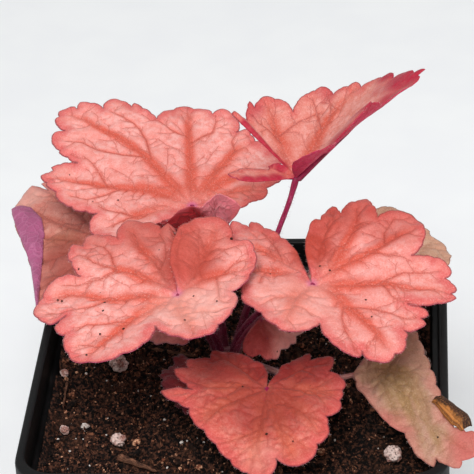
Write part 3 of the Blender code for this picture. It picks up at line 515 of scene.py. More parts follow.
# Main veins of the blades that show most, as (order, points), each point a heading and a
# distance from the joint. Order 1 runs to a lobe's tip, 2 to a tooth, and 3 joins veins.
VEINS = {
    "leaf_back_left": (
        (1, ((153, 0), (153, 4), (156, 11), (160, 16.5), (166, 25), (166, 31), (166, 37), (166, 44))),
        (1, ((130, 0), (130, 6), (132, 13), (130, 23), (132, 30.5), (134, 37.5), (136, 43.5),
             (136, 48), (138, 53))),
        (2, ((130, 23), (140, 29), (144, 33.5), (146, 37), (146, 41.5), (149, 46))),
        (2, ((128, 22), (122, 29), (121, 34.5), (122, 37.5), (125, 42), (127, 45))),
        (1, ((98, 0), (98, 6), (96, 14), (96, 26.5), (96, 34), (94, 38.5))),
        (2, ((96, 26.5), (98, 28), (106, 31), (110, 35), (112, 37))),
        (2, ((96, 24), (91, 26), (86, 28.5), (82, 30.5), (82, 34.5), (83, 38))),
        (1, ((60, 0), (60, 5), (66, 12), (65, 19), (64, 25.5), (60, 30), (59, 34))),
        (2, ((64, 25.5), (70, 29), (70, 33))),
        (1, ((62, 0), (62, 7), (56, 10.5), (48, 17.5), (42, 22), (34, 24))),
        (1, ((33, 0), (33, 6), (27, 12), (24, 18), (20, 21))),
        (1, ((199, 0), (199, 7), (197, 13), (199, 17))),
        (2, ((199, 17), (192, 20.5), (188, 25), (184, 27))),
        (2, ((165, 26), (158, 30), (154, 34), (152, 38))),
        (2, ((166, 22), (170, 23.5), (176, 27), (179, 30.5), (176, 35.5))),
        (3, ((161, 18), (155, 20), (152, 25), (152, 28))),
        (3, ((131, 14), (142, 17.5), (151, 20.5))),
        (3, ((118, 18), (112, 23.5), (105, 22.5), (100, 23))),
        (3, ((105, 22.5), (112, 25), (115, 28.5), (120, 30))),
        (3, ((96, 13.5), (80, 18), (78, 22), (76, 26))),
        (3, ((160, 15), (174, 15.5), (178, 19))),
        (2, ((199, 17), (200, 20), (202, 23.5), (204, 24))),
        (3, ((132, 30.5), (130, 33), (131, 37))),
        (3, ((136, 43.5), (132, 46), (132, 49.5))),
    ),
    "leaf_front_left": (
        (1, ((196, 0), (196, 3.5), (192, 6.5), (186, 13), (187, 16.5), (184, 20), (180, 23), (178, 25),
             (176, 30), (178, 34.5))),
        (2, ((186, 17.5), (189, 20.5), (192, 23), (192, 27), (192, 32), (190, 35))),
        (1, ((135, 0), (135, 3), (134, 6), (148, 11), (148, 16), (150, 20))),
        (2, ((150, 20), (144, 23), (139, 26), (138, 29), (139, 32.5))),
        (2, ((150, 20), (151, 23), (152, 27), (150, 30), (150, 33))),
        (2, ((150, 19.5), (164, 22), (166, 24), (170, 28), (170, 32))),
        (3, ((148, 11), (155, 11), (166, 14), (178, 11))),
        (3, ((166, 14), (164, 17), (160, 20))),
        (3, ((166, 24), (172, 25), (178, 25))),
        (1, ((132, 0), (132, 3.5), (120, 11), (120, 15), (122, 20), (123, 24), (121, 29))),
        (2, ((120, 11), (107, 15), (104, 20), (106, 24.5))),
        (3, ((120, 15), (130, 15), (134, 16))),
        (1, ((224, 0), (224, 4), (223, 7.5), (224, 12.5), (226, 19), (228, 24), (230, 29),
             (230, 32.5))),
        (2, ((230, 29), (224, 30), (220, 31.5))),
        (2, ((225, 16.5), (218, 19), (216, 21), (212, 23.5), (208, 26), (210, 29.5))),
        (3, ((216, 21), (206, 20), (198, 22))),
        (1, ((275, 0), (275, 5), (280, 11), (285, 16), (286, 20), (287, 22))),
        (2, ((280, 10.5), (292, 11), (306, 12), (314, 15.5), (326, 17))),
        (3, ((283, 15), (272, 16), (264, 16), (250, 12.5))),
        (3, ((306, 12), (299, 17), (296, 20.5))),
        (1, ((400, 0), (400, 3), (398, 8), (388, 13), (382, 19), (384, 22))),
        (2, ((390, 11.5), (358, 11), (334, 13), (332, 16))),
        (2, ((388, 13), (395, 17.5), (394, 20), (393, 23))),
        (1, ((408, 0), (408, 3), (419, 8), (423, 12), (424, 17), (425, 21), (428, 25))),
        (2, ((423, 16.5), (420, 19), (412, 20), (408, 23))),
        (1, ((434, 0), (434, 3), (440, 7), (444, 11.5), (445, 16), (442, 20.5))),
        (3, ((412, 6.5), (426, 13), (434, 19), (436, 23))),
    ),
    "leaf_front_right": (
        (1, ((349, 0), (349, 5.5), (357, 13), (360, 18), (358, 23), (357, 28), (358, 33.5),
             (356, 37))),
        (2, ((360, 17), (366, 20.5), (370, 24.5), (369, 30), (369, 34))),
        (2, ((359, 18.5), (354, 20), (348, 21.5), (345, 24), (346, 27))),
        (1, ((400, 0), (400, 4), (396, 9.5), (392, 14.5), (391, 20), (394, 24), (394, 30), (394, 33))),
        (2, ((394, 23.5), (402, 26), (404, 29), (406, 32))),
        (2, ((391, 18.5), (384, 22), (380, 25.5), (376, 27.5))),
        (1, ((400, 0), (400, 3.5), (402, 7), (414, 13), (417, 19), (420, 24), (426, 29))),
        (2, ((420, 23), (417, 25), (413, 25.5))),
        (1, ((432, 0), (432, 3), (440, 8), (441, 13), (440, 19), (436, 22), (438, 26.5))),
        (3, ((393, 14.5), (383, 15.5), (378, 16))),
        (3, ((415, 15), (426, 15), (432, 16))),
        (1, ((338, 0), (338, 3), (332, 6), (318, 12), (317, 16.5), (316, 21), (315, 25), (312, 30))),
        (2, ((318, 12), (322, 14), (332, 19), (334, 23), (335, 28), (338, 30))),
        (2, ((317, 12), (302, 15.5), (298, 20), (298, 23), (296, 27.5))),
        (2, ((315, 25), (310, 26), (304, 27))),
        (3, ((316, 21), (320, 24), (326, 26))),
        (1, ((226, 0), (226, 2), (240, 8), (248, 13), (250, 19))),
        (2, ((240, 8), (224, 9.5), (218, 12), (218, 16.5))),
        (2, ((248, 12), (256, 11.5), (265, 12), (272, 14))),
        (3, ((238, 5), (272, 6), (296, 6.5))),
        (1, ((138, 0), (138, 4), (147, 7.5), (156, 11), (162, 15), (169, 18))),
        (2, ((160, 13), (169, 13.5), (186, 14))),
        (1, ((124, 0), (124, 6), (132, 11), (132, 16), (133, 19.5), (136, 22))),
        (2, ((131, 12.5), (124, 18), (122, 23.5), (122, 27.5))),
        (3, ((358, 23), (352, 25), (348, 25))),
    ),
    "leaf_back_right": (
        (1, ((134, 0), (134, 2), (126, 4.5), (114, 10.5), (114, 15), (112, 20), (112, 25))),
        (2, ((114, 14), (98, 16), (88, 18), (78, 20), (70, 21.5))),
        (1, ((52, 0), (52, 5), (56, 11), (58, 16), (58, 20), (56, 24), (54, 28), (53, 31))),
        (2, ((58, 15.5), (71, 20), (76, 23), (80, 26))),
        (3, ((55, 8), (78, 11), (84, 14))),
        (3, ((90, 17), (94, 19), (96, 21))),
        (2, ((57, 19), (61, 22.5), (67, 26))),
        (2, ((115, 12), (122, 17), (128, 20), (127, 23))),
    ),
    "leaf_right_front_old": (
        (1, ((3, 0), (3, 4), (0, 9), (-18, 15), (-30, 19.5), (-41, 26.5), (-46, 32), (-50, 36.5))),
        (1, ((-20, 0), (-20, 4), (-24, 8), (-42, 12.5), (-50, 16.5), (-56, 21))),
        (1, ((-12, 0), (-12, 6), (-25, 12.5), (-39, 18), (-51, 27), (-55, 32))),
        (1, ((18, 0), (18, 5.5), (3, 10), (-12, 16), (-31, 22), (-42, 28), (-42, 34), (-42, 39.5))),
    ),
}

# Colours of a blade: how strong its veins and its fine net are, then its upper side's pale areas
# between veins, flesh near veins, glow of main veins, veins, band along the margin, very edge,
# patch where the stalk joins, light stipple, and deep red patches that also serve as painted
# shade; its underside and veins there.
TINTS = ("ink", "net", "pale", "flesh", "glow", "core", "band", "edge", "spot", "light", "deep",
         "under", "ridge")
BLADE_LOOKS = {
    "coral": (1, 0.16, (243, 176, 169), (234, 141, 131), (214, 90, 70), (176, 70, 54), (216, 88, 86),
        (118, 34, 48), (206, 104, 150), (252, 213, 208), (188, 70, 55), (172, 42, 76), (206, 92, 128)),
    "cupped": (1, 0.16, (232, 162, 152), (218, 126, 112), (204, 88, 68), (160, 68, 60), (208, 84, 78),
        (130, 30, 48), (190, 40, 70), (248, 202, 196), (184, 28, 58), (196, 30, 80), (212, 62, 112)),
    "low": (0.5, 0.15, (222, 128, 114), (203, 86, 74), (214, 104, 72), (150, 50, 44), (206, 82, 78),
        (120, 30, 44), (214, 130, 104), (244, 170, 156), (138, 32, 29), (130, 34, 58), (160, 66, 96)),
    "under": (0.6, 0.2, (150, 48, 50), (130, 34, 40), (140, 44, 40), (84, 20, 26), (112, 28, 38),
        (60, 16, 28), (150, 70, 80), (176, 90, 86), (90, 18, 26), (110, 30, 50), (140, 56, 84)),
    "faded": (0.7, 0.2, (226, 156, 140), (208, 124, 110), (186, 96, 80), (136, 66, 56),
        (210, 122, 112), (140, 84, 76), (200, 120, 130), (240, 190, 174), (158, 66, 56),
        (176, 90, 130), (200, 124, 160)),
    "small": (0.6, 0.2, (240, 150, 138), (228, 114, 102), (188, 82, 76), (132, 54, 54), (200, 92, 90),
        (110, 40, 48), (180, 96, 110), (236, 180, 170), (150, 34, 32), (178, 98, 118),
        (200, 128, 144)),
    "dying": (0.5, 0.35, (192, 150, 132), (182, 134, 114), (150, 120, 60), (118, 82, 46),
        (188, 122, 106), (140, 76, 66), (160, 108, 96), (222, 190, 170), (202, 98, 92),
        (170, 110, 100), (192, 140, 130)),
    "tan": (0.6, 0.25, (212, 174, 148), (198, 150, 124), (184, 126, 100), (150, 98, 76),
        (200, 148, 122), (150, 100, 80), (176, 120, 104), (228, 200, 180), (150, 96, 72),
        (176, 126, 110), (198, 154, 138)),
    # The young blade's crimson upper side and deep colour are partly its own crimson and partly
    # painted deep shade.
    "young": (0.6, 0.2, (156, 26, 42), (136, 12, 32), (160, 34, 44), (100, 12, 28), (150, 30, 50),
        (120, 30, 54), (160, 60, 90), (200, 90, 100), (150, 3, 14), (236, 124, 136), (240, 150, 156)),
}
SLOTS = {"coral": "coral_leaf", "cupped": "coral_leaf", "low": "dark_coral_leaf",
         "under": "dark_coral_leaf", "faded": "faded_leaf", "small": "faded_leaf",
         "dying": "tan_leaf", "tan": "tan_leaf", "young": "young_leaf"}


# ---------------------------------------------------------------- numbers and small helpers

def smooth(value):
    """An S-shaped step from 0 to 1."""
    t = np.clip(value, 0.0, 1.0)
    return t * t * (3.0 - 2.0 * t)


def rgb(red, green, blue):
    """A screen colour, each part from 0 to 255, as linear RGBA."""
    def linear(part):
        part /= 255.0
        return part / 12.92 if part <= 0.04045 else ((part + 0.055) / 1.055) ** 2.4
    return (linear(red), linear(green), linear(blue), 1.0)


def add_mesh(name, points, faces, materials, kinds=None, flat=False):
    """A mesh object from points in millimetres, with a material number for each face."""
    mesh = bpy.data.meshes.new(name)
    mesh.from_pydata((np.asarray(points, dtype=float) * MM).tolist(), [], faces)
    for material in materials:
        mesh.materials.append(material)
    if kinds is not None:
        mesh.polygons.foreach_set("material_index", np.asarray(kinds, dtype=np.int32))
    mesh.polygons.foreach_set("use_smooth", np.full(len(mesh.polygons), not flat))
    mesh.update()
    obj = bpy.data.objects.new(name, mesh)
    bpy.context.scene.collection.objects.link(obj)
    return obj


class Bundle:
    """Bodies gathered into one mesh, with vectors at its points that materials read by name."""

    def __init__(self):
        self.cloud, self.faces, self.kinds, self.vectors = [], [], [], {}

    def add(self, points, faces, kinds=0, **vectors):
        start = len(self.cloud)
        self.cloud.extend(tuple(p) for p in points)
        self.faces.extend(tuple(i + start for i in face) for face in faces)
        self.kinds.extend(kinds if isinstance(kinds, list) else [kinds] * len(faces))
        for name, values in vectors.items():
            self.vectors.setdefault(name, []).extend(values)

    def mesh(self, name, materials, flat=False):
        obj = add_mesh(name, self.cloud, self.faces, materials, self.kinds, flat)
        for layer, values in self.vectors.items():
            data = obj.data.attributes.new(layer, "FLOAT_VECTOR", "POINT").data
            data.foreach_set("vector", np.asarray(values, dtype=np.float32).ravel())
        return obj


def vertex_normals(points, triangles):
    """The mean direction of the faces round each point."""
    a, b, c = (points[triangles[:, k]] for k in range(3))
    facing = np.cross(b - a, c - a)
    normals = np.zeros_like(points)
    for k in range(3):
        np.add.at(normals, triangles[:, k], facing)
    return normals / np.maximum(np.linalg.norm(normals, axis=1, keepdims=True), 1e-12)


def facing_up(points, triangles):
    """The triangles turned so that their sheet faces up, and the normals at its points."""
    normals = vertex_normals(points, triangles)
    if normals[:, 2].mean() < 0:
        return triangles[:, ::-1], -normals
    return triangles, normals


def boundary_edges(triangles):
    """Edges that only one triangle uses, in that triangle's direction."""
    edges = np.concatenate([triangles[:, [0, 1]], triangles[:, [1, 2]], triangles[:, [2, 0]]])
    key = np.sort(edges, axis=1)
    _, first, count = np.unique(key, axis=0, return_index=True, return_counts=True)
    return edges[first[count == 1]]


def closed_sheet(triangles, count, upper, lower):
    """Faces of a thin body and their materials. Its upper side has the triangles, its lower side
    has them again with the points numbered from count, and a wall runs round the edge."""
    walls = [(b, a, a + count, b + count) for a, b in boundary_edges(triangles).tolist()]
    faces = triangles.tolist() + (triangles[:, ::-1] + count).tolist() + walls
    return faces, [upper] * len(triangles) + [lower] * (len(triangles) + len(walls))


def ring_faces(low, high, size):
    """Quads between two rings of points that start at the numbers low and high."""
    return [(low + k, low + (k + 1) % size, high + (k + 1) % size, high + k) for k in range(size)]


def ball(detail, radius=1.0):
    """An icosphere's points and faces."""
    bm = bmesh.new()
    bmesh.ops.create_icosphere(bm, subdivisions=detail, radius=radius)
    points = [vert.co.copy() for vert in bm.verts]
    faces = [tuple(vert.index for vert in face.verts) for face in bm.faces]
    bm.free()
    return points, faces


def lump(rng, size, detail):
    """A small knobbly lump round the origin: points and faces."""
    sphere, faces = ball(detail)
    stretch = Vector(rng.uniform(0.6, 1.2, 3))
    shift = Vector(rng.uniform(-50, 50, 3))
    points = []
    for p in sphere:
        bump = 1.0 + LUMP_BUMP * noise.noise(p * LUMP_GRAIN + shift)
        points.append(Vector((p.x * stretch.x, p.y * stretch.y, p.z * stretch.z)) * bump * size)
    return points, faces


def tube(points, radii, sides, squash=1.0):
    """A closed tube: its points, faces, and (round, along) for each point."""
    points = [Vector(p) for p in points]
    along = (points[1] - points[0]).normalized()
    side = along.orthogonal().normalized()
    cloud, wrap, faces = [], [], []
    run = 0.0
    for i, point in enumerate(points):
        ahead = points[min(i + 1, len(points) - 1)] - points[max(i - 1, 0)]
        ahead.normalize()
        side = (side - ahead * side.dot(ahead)).normalized()
        other = ahead.cross(side)
        if i:
            run += (point - points[i - 1]).length
            faces += ring_faces((i - 1) * sides, i * sides, sides)
        for k in range(sides):
            turn = 2.0 * math.pi * k / sides
            out = side * math.cos(turn) + other * squash * math.sin(turn)
            cloud.append(tuple(point + radii[i] * out))
            wrap.append((math.cos(turn) + math.sin(turn) * 0.7, run, 0.0))
    last = (len(points) - 1) * sides
    faces += [tuple(range(sides))[::-1], tuple(range(last, last + sides))]
    return cloud, faces, wrap


def hair_cones(roots, ways, lengths, radius):
    """Three-sided closed spikes: points and faces."""
    points = []
    faces = []
    for root, way, length in zip(roots, ways, lengths):
        way = Vector(way).normalized()
        side = way.orthogonal().normalized()
        other = way.cross(side)
        base = len(points)
        for k in range(3):
            turn = 2.0 * math.pi * k / 3.0
            out = side * math.cos(turn) + other * math.sin(turn)
            points.append(tuple(Vector(root) + radius * out))
        points.append(tuple(Vector(root) + way * length))
        faces += [(base, base + 1, base + 3), (base + 1, base + 2, base + 3),
                  (base + 2, base, base + 3), (base + 2, base + 1, base)]
    return points, faces


# ---------------------------------------------------------------- materials

class Look:
    """A material whose nodes are added one at a time and whose colour is laid on in layers."""

    def __init__(self, name):
        self.material = bpy.data.materials.new(name)
        self.material.use_nodes = True
        self.tree = self.material.node_tree
        self.shader = self.tree.nodes["Principled BSDF"]
        self.colour = None

    def put(self, socket, value):
        if isinstance(value, bpy.types.NodeSocket):
            self.tree.links.new(value, socket)
        else:
            socket.default_value = value

    def node(self, kind, inputs, **settings):
        """The outputs of a new node, given its settings and its inputs by name or number."""
        node = self.tree.nodes.new("ShaderNode" + kind)
        for name, value in settings.items():
            setattr(node, name, value)
        for name, value in inputs.items():
            self.put(node.inputs[name], value)
        return node.outputs

    def attribute(self, name):
        return self.node("Attribute", {}, attribute_type="GEOMETRY", attribute_name=name)["Vector"]

    def place(self):
        return self.node("TexCoord", {})["Object"]

    def split(self, vector):
        return self.node("SeparateXYZ", {0: vector})

    def math(self, operation, a, b):
        return self.node("Math", {0: a, 1: b}, operation=operation)[0]

    def swing(self, value, amount):
        """The value's distance from a half, times the amount."""
        return self.math("MULTIPLY", self.math("SUBTRACT", value, 0.5), amount)

    def scaled(self, vector, factors):
        return self.node("VectorMath", {0: vector, 1: factors}, operation="MULTIPLY")[0]

    def reach(self, vector):
        """Length of the vector's first two parts."""
        flat = self.scaled(vector, (1.0, 1.0, 0.0))
        return self.node("VectorMath", {0: flat}, operation="LENGTH")["Value"]

    def vein_gap(self):
        """Distance to the nearest vein, in its half widths."""
        vein = self.attribute("vein")
        return self.math("MAXIMUM", self.reach(vein), self.split(vein)[2])

    def mix(self, factor, a, b):
        return self.node("Mix", {0: factor, 6: a, 7: b}, data_type="RGBA", clamp_factor=True)[2]

    def over(self, mask, colour):
        """Lay a colour on what is there so far, as much as the mask says."""
        self.colour = self.mix(mask, self.colour, colour)

    def ramp(self, value, low, high, start=0.0, end=1.0):
        """The value's smooth step between low and high, from start to end."""
        inputs = dict(enumerate((value, low, high, start, end)))
        return self.node("MapRange", inputs, interpolation_type="SMOOTHSTEP")[0]

    def noise(self, vector, scale, detail, roughness=0.55):
        inputs = {"Vector": vector, "Scale": scale, "Detail": detail, "Roughness": roughness}
        return self.node("TexNoise", inputs)[0]

    def wobble(self, vector, scale, amount):
        """The vector moved about by noise, to bend a pattern laid on it."""
        moved = self.node("TexNoise", {"Vector": vector, "Scale": scale})["Color"]
        inputs = {0: moved, 1: (amount, amount, amount), 2: vector}
        return self.node("VectorMath", inputs, operation="MULTIPLY_ADD")[0]

    def cells(self, vector, scale, feature="DISTANCE_TO_EDGE"):
        inputs = {"Vector": vector, "Scale": scale}
        return self.node("TexVoronoi", inputs, feature=feature)["Distance"]

    def finish(self, **values):
        """Give the shader its colour and other inputs, such as sheen_weight=..."""
        for name, value in dict(base_color=self.colour, **values).items():
            name = name.replace("_", " ").title().replace("Ior", "IOR")
            self.put(self.shader.inputs[name], value)

    def bump(self, *layers):
        """Bumps of (height, millimetres), each on top of the one before."""
        for height, distance in layers:
            inputs = {"Strength": 1.0, "Distance": distance * MM, "Height": height}
            socket = self.shader.inputs["Normal"]
            if socket.links:
                inputs["Normal"] = socket.links[0].from_socket
            self.put(socket, self.node("Bump", inputs)[0])


def tone(tints, name, factor=1.0):
    """One of a blade's colours, darkened by the factor."""
    return rgb(*(factor * part for part in tints[name]))


def blade_top(name, tints):
    """Upper side: pale flesh, coral glow round the main veins, thin dark branches, red margin.

    The mesh carries "vein" (the way to the nearest vein, in its half widths), "zone" (distance
    to the margin, glow of main veins, darkness of the nearest vein) and "flat" (place on the
    blade). "tint" says how much darker red and painted shade the place has, how much bleaching and
    painted light, and how much drying.
    """
    look = Look(name)
    flat = look.attribute("flat")
    margin, glow, ink = look.split(look.attribute("zone"))[:3]
    deep, bleached, dried = look.split(look.attribute("tint"))[:3]
    net = look.cells(look.wobble(flat, 0.4, 2.2), 0.38)
    broad = look.noise(flat, 0.13, 3.0)
    mottle = look.noise(flat, 0.5, 4.0, 0.65)
    stipple = look.noise(flat, 2.6, 4.0, 0.85)
    look.colour = look.mix(look.ramp(mottle, 0.36, 0.66), tone(tints, "flesh"), tone(tints, "pale"))
    look.over(look.ramp(broad, 0.44, 0.62, 0.0, 0.55), tone(tints, "flesh"))
    look.over(look.ramp(net, 0.004, 0.035, tints["net"], 0.0), tone(tints, "glow"))
    ragged = look.math("ADD", glow, look.swing(mottle, 0.5))
    halo = look.ramp(ragged, 0.1, 0.8, 0.0, 0.4 + 0.6 * tints["ink"])
    halo = look.math("MULTIPLY", halo, look.ramp(margin, 0.8, 9.0, 0.3, 1.0))
    look.over(halo, tone(tints, "glow"))
    band = look.math("ADD", margin, look.swing(broad, 9.0))
    look.over(look.ramp(band, 0.2, 4.0, 0.85, 0.0), tone(tints, "band"))
    line = look.math("MULTIPLY", look.ramp(look.vein_gap(), 0.3, 1.9, tints["ink"], 0.0), ink)
    look.over(line, tone(tints, "core"))
    look.over(look.ramp(margin, 0.05, 0.55, 0.75, 0.0), tone(tints, "edge"))
    look.over(look.ramp(stipple, 0.5, 0.72, 0.0, 0.5), tone(tints, "light"))
    look.over(look.ramp(stipple, 0.5, 0.3, 0.0, 0.30), tone(tints, "core"))
    look.over(look.ramp(look.reach(flat), 2.4, 0.5, 0.0, 0.7), tone(tints, "spot"))
    # Bleached patches, which are painted light on lobes that face the light.
    look.over(bleached, look.mix(mottle, rgb(236, 188, 170), rgb(245, 184, 174)))
    look.over(look.math("MULTIPLY", dried, look.ramp(mottle, 0.3, 0.6, 0.6, 1.1)),
              look.mix(stipple, rgb(96, 54, 30), rgb(166, 112, 62)))
    # Deep red patches, which are painted shade on lobes that lean away from the light and on blades in
    # the shade of others.
    dimmed = look.math("MAXIMUM", line, look.ramp(stipple, 0.6, 0.3, 0.0, 0.5))
    look.over(look.math("MULTIPLY", deep, look.ramp(mottle, 0.25, 0.6, 0.8, 1.0)),
              look.mix(dimmed, tone(tints, "deep"), tone(tints, "deep", 0.72)))
    look.finish(roughness=look.ramp(stipple, 0.3, 0.7, 0.6, 0.42), specular_ior_level=0.3,
                sheen_weight=0.06, sheen_roughness=0.4)
    look.bump((look.ramp(net, 0.0, 0.2), 0.05), (mottle, 0.35), (stipple, 0.16))
    return look.material


def blade_underside(name, tints):
    """Underside: magenta, with raised paler veins."""
    look = Look(name)
    flat = look.attribute("flat")
    net = look.cells(look.wobble(flat, 0.35, 1.6), 0.42)
    mottle = look.noise(flat, 0.2, 4.0, 0.6)
    stipple = look.noise(flat, 3.0, 3.0, 0.7)
    look.colour = look.mix(look.ramp(mottle, 0.35, 0.7, 0.0, 0.55),
                           tone(tints, "under"), tone(tints, "under", 0.74))
    for value, *span in ((net, 0.01, 0.07, 0.45, 0.0), (look.vein_gap(), 0.7, 2.2, 0.8, 0.0),
                         (stipple, 0.4, 0.75, 0.0, 0.3)):
        look.over(look.ramp(value, *span), tone(tints, "ridge"))
    # Deep red patches, painted shade where the blade lies in shade, as on the upper side.
    deep = look.split(look.attribute("tint"))[0]
    look.over(look.math("MULTIPLY", deep, 0.97), tone(tints, "deep"))
    look.finish(roughness=look.ramp(stipple, 0.3, 0.7, 0.72, 0.55), specular_ior_level=0.3,
                sheen_weight=0.06, sheen_roughness=0.5)
    look.bump((look.ramp(net, 0.0, 0.15, 1.0, 0.0), 0.12), (stipple, 0.12))
    return look.material


def hair_look(name, root, tip):
    """Fine hairs, paler here and there."""
    look = Look(name)
    look.colour = look.mix(look.ramp(look.noise(look.place(), 900.0, 2.0), 0.35, 0.65),
                           rgb(*root), rgb(*tip))
    look.finish(roughness=0.45, sheen_weight=0.3)
    return look.material


def stalk_look():
    """Deep crimson stalks with long streaks; "tint" turns old stalks tan and paints shade on the stalk
    bases round the crown.
    """
    look = Look("stalk_skin")
    streak = look.noise(look.scaled(look.attribute("flat"), (5.0, 0.25, 1.0)), 1.0, 4.0, 0.65)
    speck = look.noise(look.place(), 1500.0, 3.0, 0.7)
    old, crown_shade = look.split(look.attribute("tint"))[:2]
    streaks = look.ramp(streak, 0.35, 0.65)
    look.colour = look.mix(streaks, rgb(112, 10, 44), rgb(164, 24, 80))
    look.over(look.ramp(speck, 0.55, 0.75, 0.0, 0.5), rgb(190, 96, 128))
    look.over(old, look.mix(streaks, rgb(140, 84, 78), rgb(184, 134, 120)))
    # Painted shade on the stalks' lower parts and the crown, under the blades.
    look.over(look.math("MULTIPLY", crown_shade, 0.8), rgb(58, 14, 22))
    look.finish(roughness=look.ramp(streak, 0.3, 0.7, 0.5, 0.36), specular_ior_level=0.4,
                sheen_weight=0.06)
    look.bump((streak, 0.12), (speck, 0.05))
    return look.material


def plastic_look():
    """Black moulded plastic, faintly scuffed and dusty."""
    look = Look("pot_plastic")
    place = look.place()
    grain = look.noise(place, 1400.0, 3.0, 0.6)
    cloud = look.noise(place, 38.0, 4.0, 0.6)
    scuff = look.noise(look.scaled(place, (1.0, 1.0, 9.0)), 160.0, 5.0, 0.7)
    dust = look.math("MULTIPLY", look.ramp(cloud, 0.48, 0.7), look.ramp(grain, 0.35, 0.7))
    look.colour = look.mix(look.math("MULTIPLY", dust, 0.1), rgb(6, 7, 8), rgb(46, 46, 46))
    look.over(look.ramp(scuff, 0.62, 0.74, 0.0, 0.3), rgb(34, 36, 40))
    look.finish(roughness=look.ramp(cloud, 0.35, 0.7, 0.42, 0.6), specular_ior_level=0.28)
    look.bump((grain, 0.03), (cloud, 0.5))
    return look.material


def earth_look(name, dark, light):
    """Dark fibrous compost with paler flecks."""
    look = Look(name)
    place = look.place()
    grain = look.noise(place, 900.0, 4.0, 0.7)
    fleck = look.cells(place, 520.0, "F1")
    look.colour = look.mix(look.ramp(grain, 0.47, 0.6), rgb(*dark), rgb(*light))
    look.over(look.ramp(look.noise(place, 120.0, 4.0, 0.6), 0.52, 0.72, 0.0, 0.3), rgb(84, 54, 38))
    look.over(look.ramp(fleck, 0.0, 0.1, 0.2, 0.0), rgb(130, 98, 78))
    look.finish(roughness=look.ramp(grain, 0.3, 0.7, 0.98, 0.8), specular_ior_level=0.2)
    look.bump((grain, 0.5), (fleck, 0.2))
    return look.material


def grain_look():
    """Perlite: chalky, pitted, stained by the soil."""
    look = Look("perlite_chalk")
    place = look.place()
    pits = look.cells(place, 1250.0, "F1")
    powder = look.noise(place, 2600.0, 3.0, 0.7)
    look.colour = look.mix(look.ramp(look.noise(place, 300.0, 4.0, 0.6), 0.42, 0.62),
                           rgb(232, 204, 194), rgb(158, 108, 96))
    look.over(look.ramp(pits, 0.05, 0.34, 0.95, 0.0), rgb(52, 26, 22))
    look.over(look.ramp(powder, 0.52, 0.7, 0.0, 0.5), rgb(244, 232, 224))
    look.finish(roughness=0.9, specular_ior_level=0.25)
    look.bump((look.ramp(pits, 0.0, 0.5), 0.25), (powder, 0.08))
    return look.material


def flake_look():
    """A dried, curled edge: golden brown with scorched patches."""
    look = Look("scorched_edge")
    flat = look.attribute("flat")
    tint = look.attribute("tint")
    patch = look.noise(flat, 0.45, 4.0, 0.6)
    grain = look.noise(flat, 3.0, 3.0, 0.7)
    shade = look.math("ADD", look.split(tint)[1], look.math("MULTIPLY", patch, 0.9))
    streak = look.noise(look.scaled(tint, (0.0, 9.0, 0.0)), 1.0, 3.0, 0.7)
    look.colour = look.mix(look.ramp(shade, 1.08, 1.34), rgb(44, 24, 15), rgb(192, 122, 58))
    look.over(look.ramp(streak, 0.38, 0.55, 0.75, 0.0), rgb(84, 44, 22))
    look.over(look.ramp(grain, 0.5, 0.7, 0.0, 0.4), rgb(214, 150, 88))
    look.finish(roughness=look.ramp(grain, 0.3, 0.7, 0.75, 0.5), specular_ior_level=0.35)
    look.bump((patch, 0.5), (streak, 0.6), (grain, 0.12))
    return look.material


def wood_look():
    """Dry bark and splinters."""
    look = Look("twig_bark")
    place = look.attribute("flat")
    fibre = look.noise(look.scaled(place, (6.0, 0.5, 1.0)), 1.0, 5.0, 0.7)
    look.colour = look.mix(look.ramp(fibre, 0.4, 0.68), rgb(54, 30, 22), rgb(156, 108, 82))
    look.over(look.ramp(look.noise(place, 0.35, 3.0, 0.6), 0.45, 0.7, 0.0, 0.7), rgb(46, 28, 22))
    look.finish(roughness=0.86, specular_ior_level=0.25)
    look.bump((fibre, 0.25))
    return look.material


# ---------------------------------------------------------------- blades

def lobe_rows(leaf):
    """The lobes with the notch that follows each: (notch, tip, next notch)."""
    lobes = leaf["lobes"]
    notches = [row[:3] for row in lobes] + [leaf["end"]]
    return [(notches[i], lobes[i][3:], notches[i + 1]) for i in range(len(lobes))]


def reach_at(row, heading):
    """The lobe's outline without teeth."""
    before, tip, after = row
    side = before if heading < tip[0] else after
    away = abs((heading - tip[0]) / (side[0] - tip[0]))
    return side[1] + (tip[1] - side[1]) * (1.0 - away ** LOBE_ROUND)


def lobed_margin(leaf, rng):
    """An outline made from the lobes, each tooth round with a tiny point."""
    points = []
    for row in lobe_rows(leaf):
        before, tip, after = row
        teeth = tip[4]
        span = math.radians(after[0] - before[0]) * tip[1]
        steps = max(8, int(span / teeth / MARGIN_STEP))
        for tooth in range(teeth):
            depth = leaf.get("tooth", TOOTH_DEPTH) * rng.uniform(*TOOTH_DEPTHS)
            lean = rng.uniform(-POINT_LEAN, POINT_LEAN)
            point = rng.uniform(*POINT_LENGTHS) * min(1.0, depth)
            for step in range(steps):
                part = step / steps
                heading = before[0] + (after[0] - before[0]) * (tooth + part) / teeth
                inset = depth * abs(2.0 * part - 1.0) ** TOOTH_ROUND
                if tooth == 0 and part < 0.5:
                    inset *= 2.0 * part
                if tooth == teeth - 1 and part > 0.5:
                    inset *= 2.0 * (1.0 - part)
                inset -= point * math.exp(-((part - 0.5 - lean) / POINT_WIDTH) ** 2)
                points.append((heading, max(LEAST_REACH, reach_at(row, heading) - inset)))
    points.append((leaf["end"][0], leaf["end"][1]))
    return points


def heading_near(x, y, guess):
    """The heading of a flat point, counted in the turn that holds the guess."""
    heading = math.degrees(math.atan2(y, x))
    return heading + 360.0 * round((guess - heading) / 360.0)


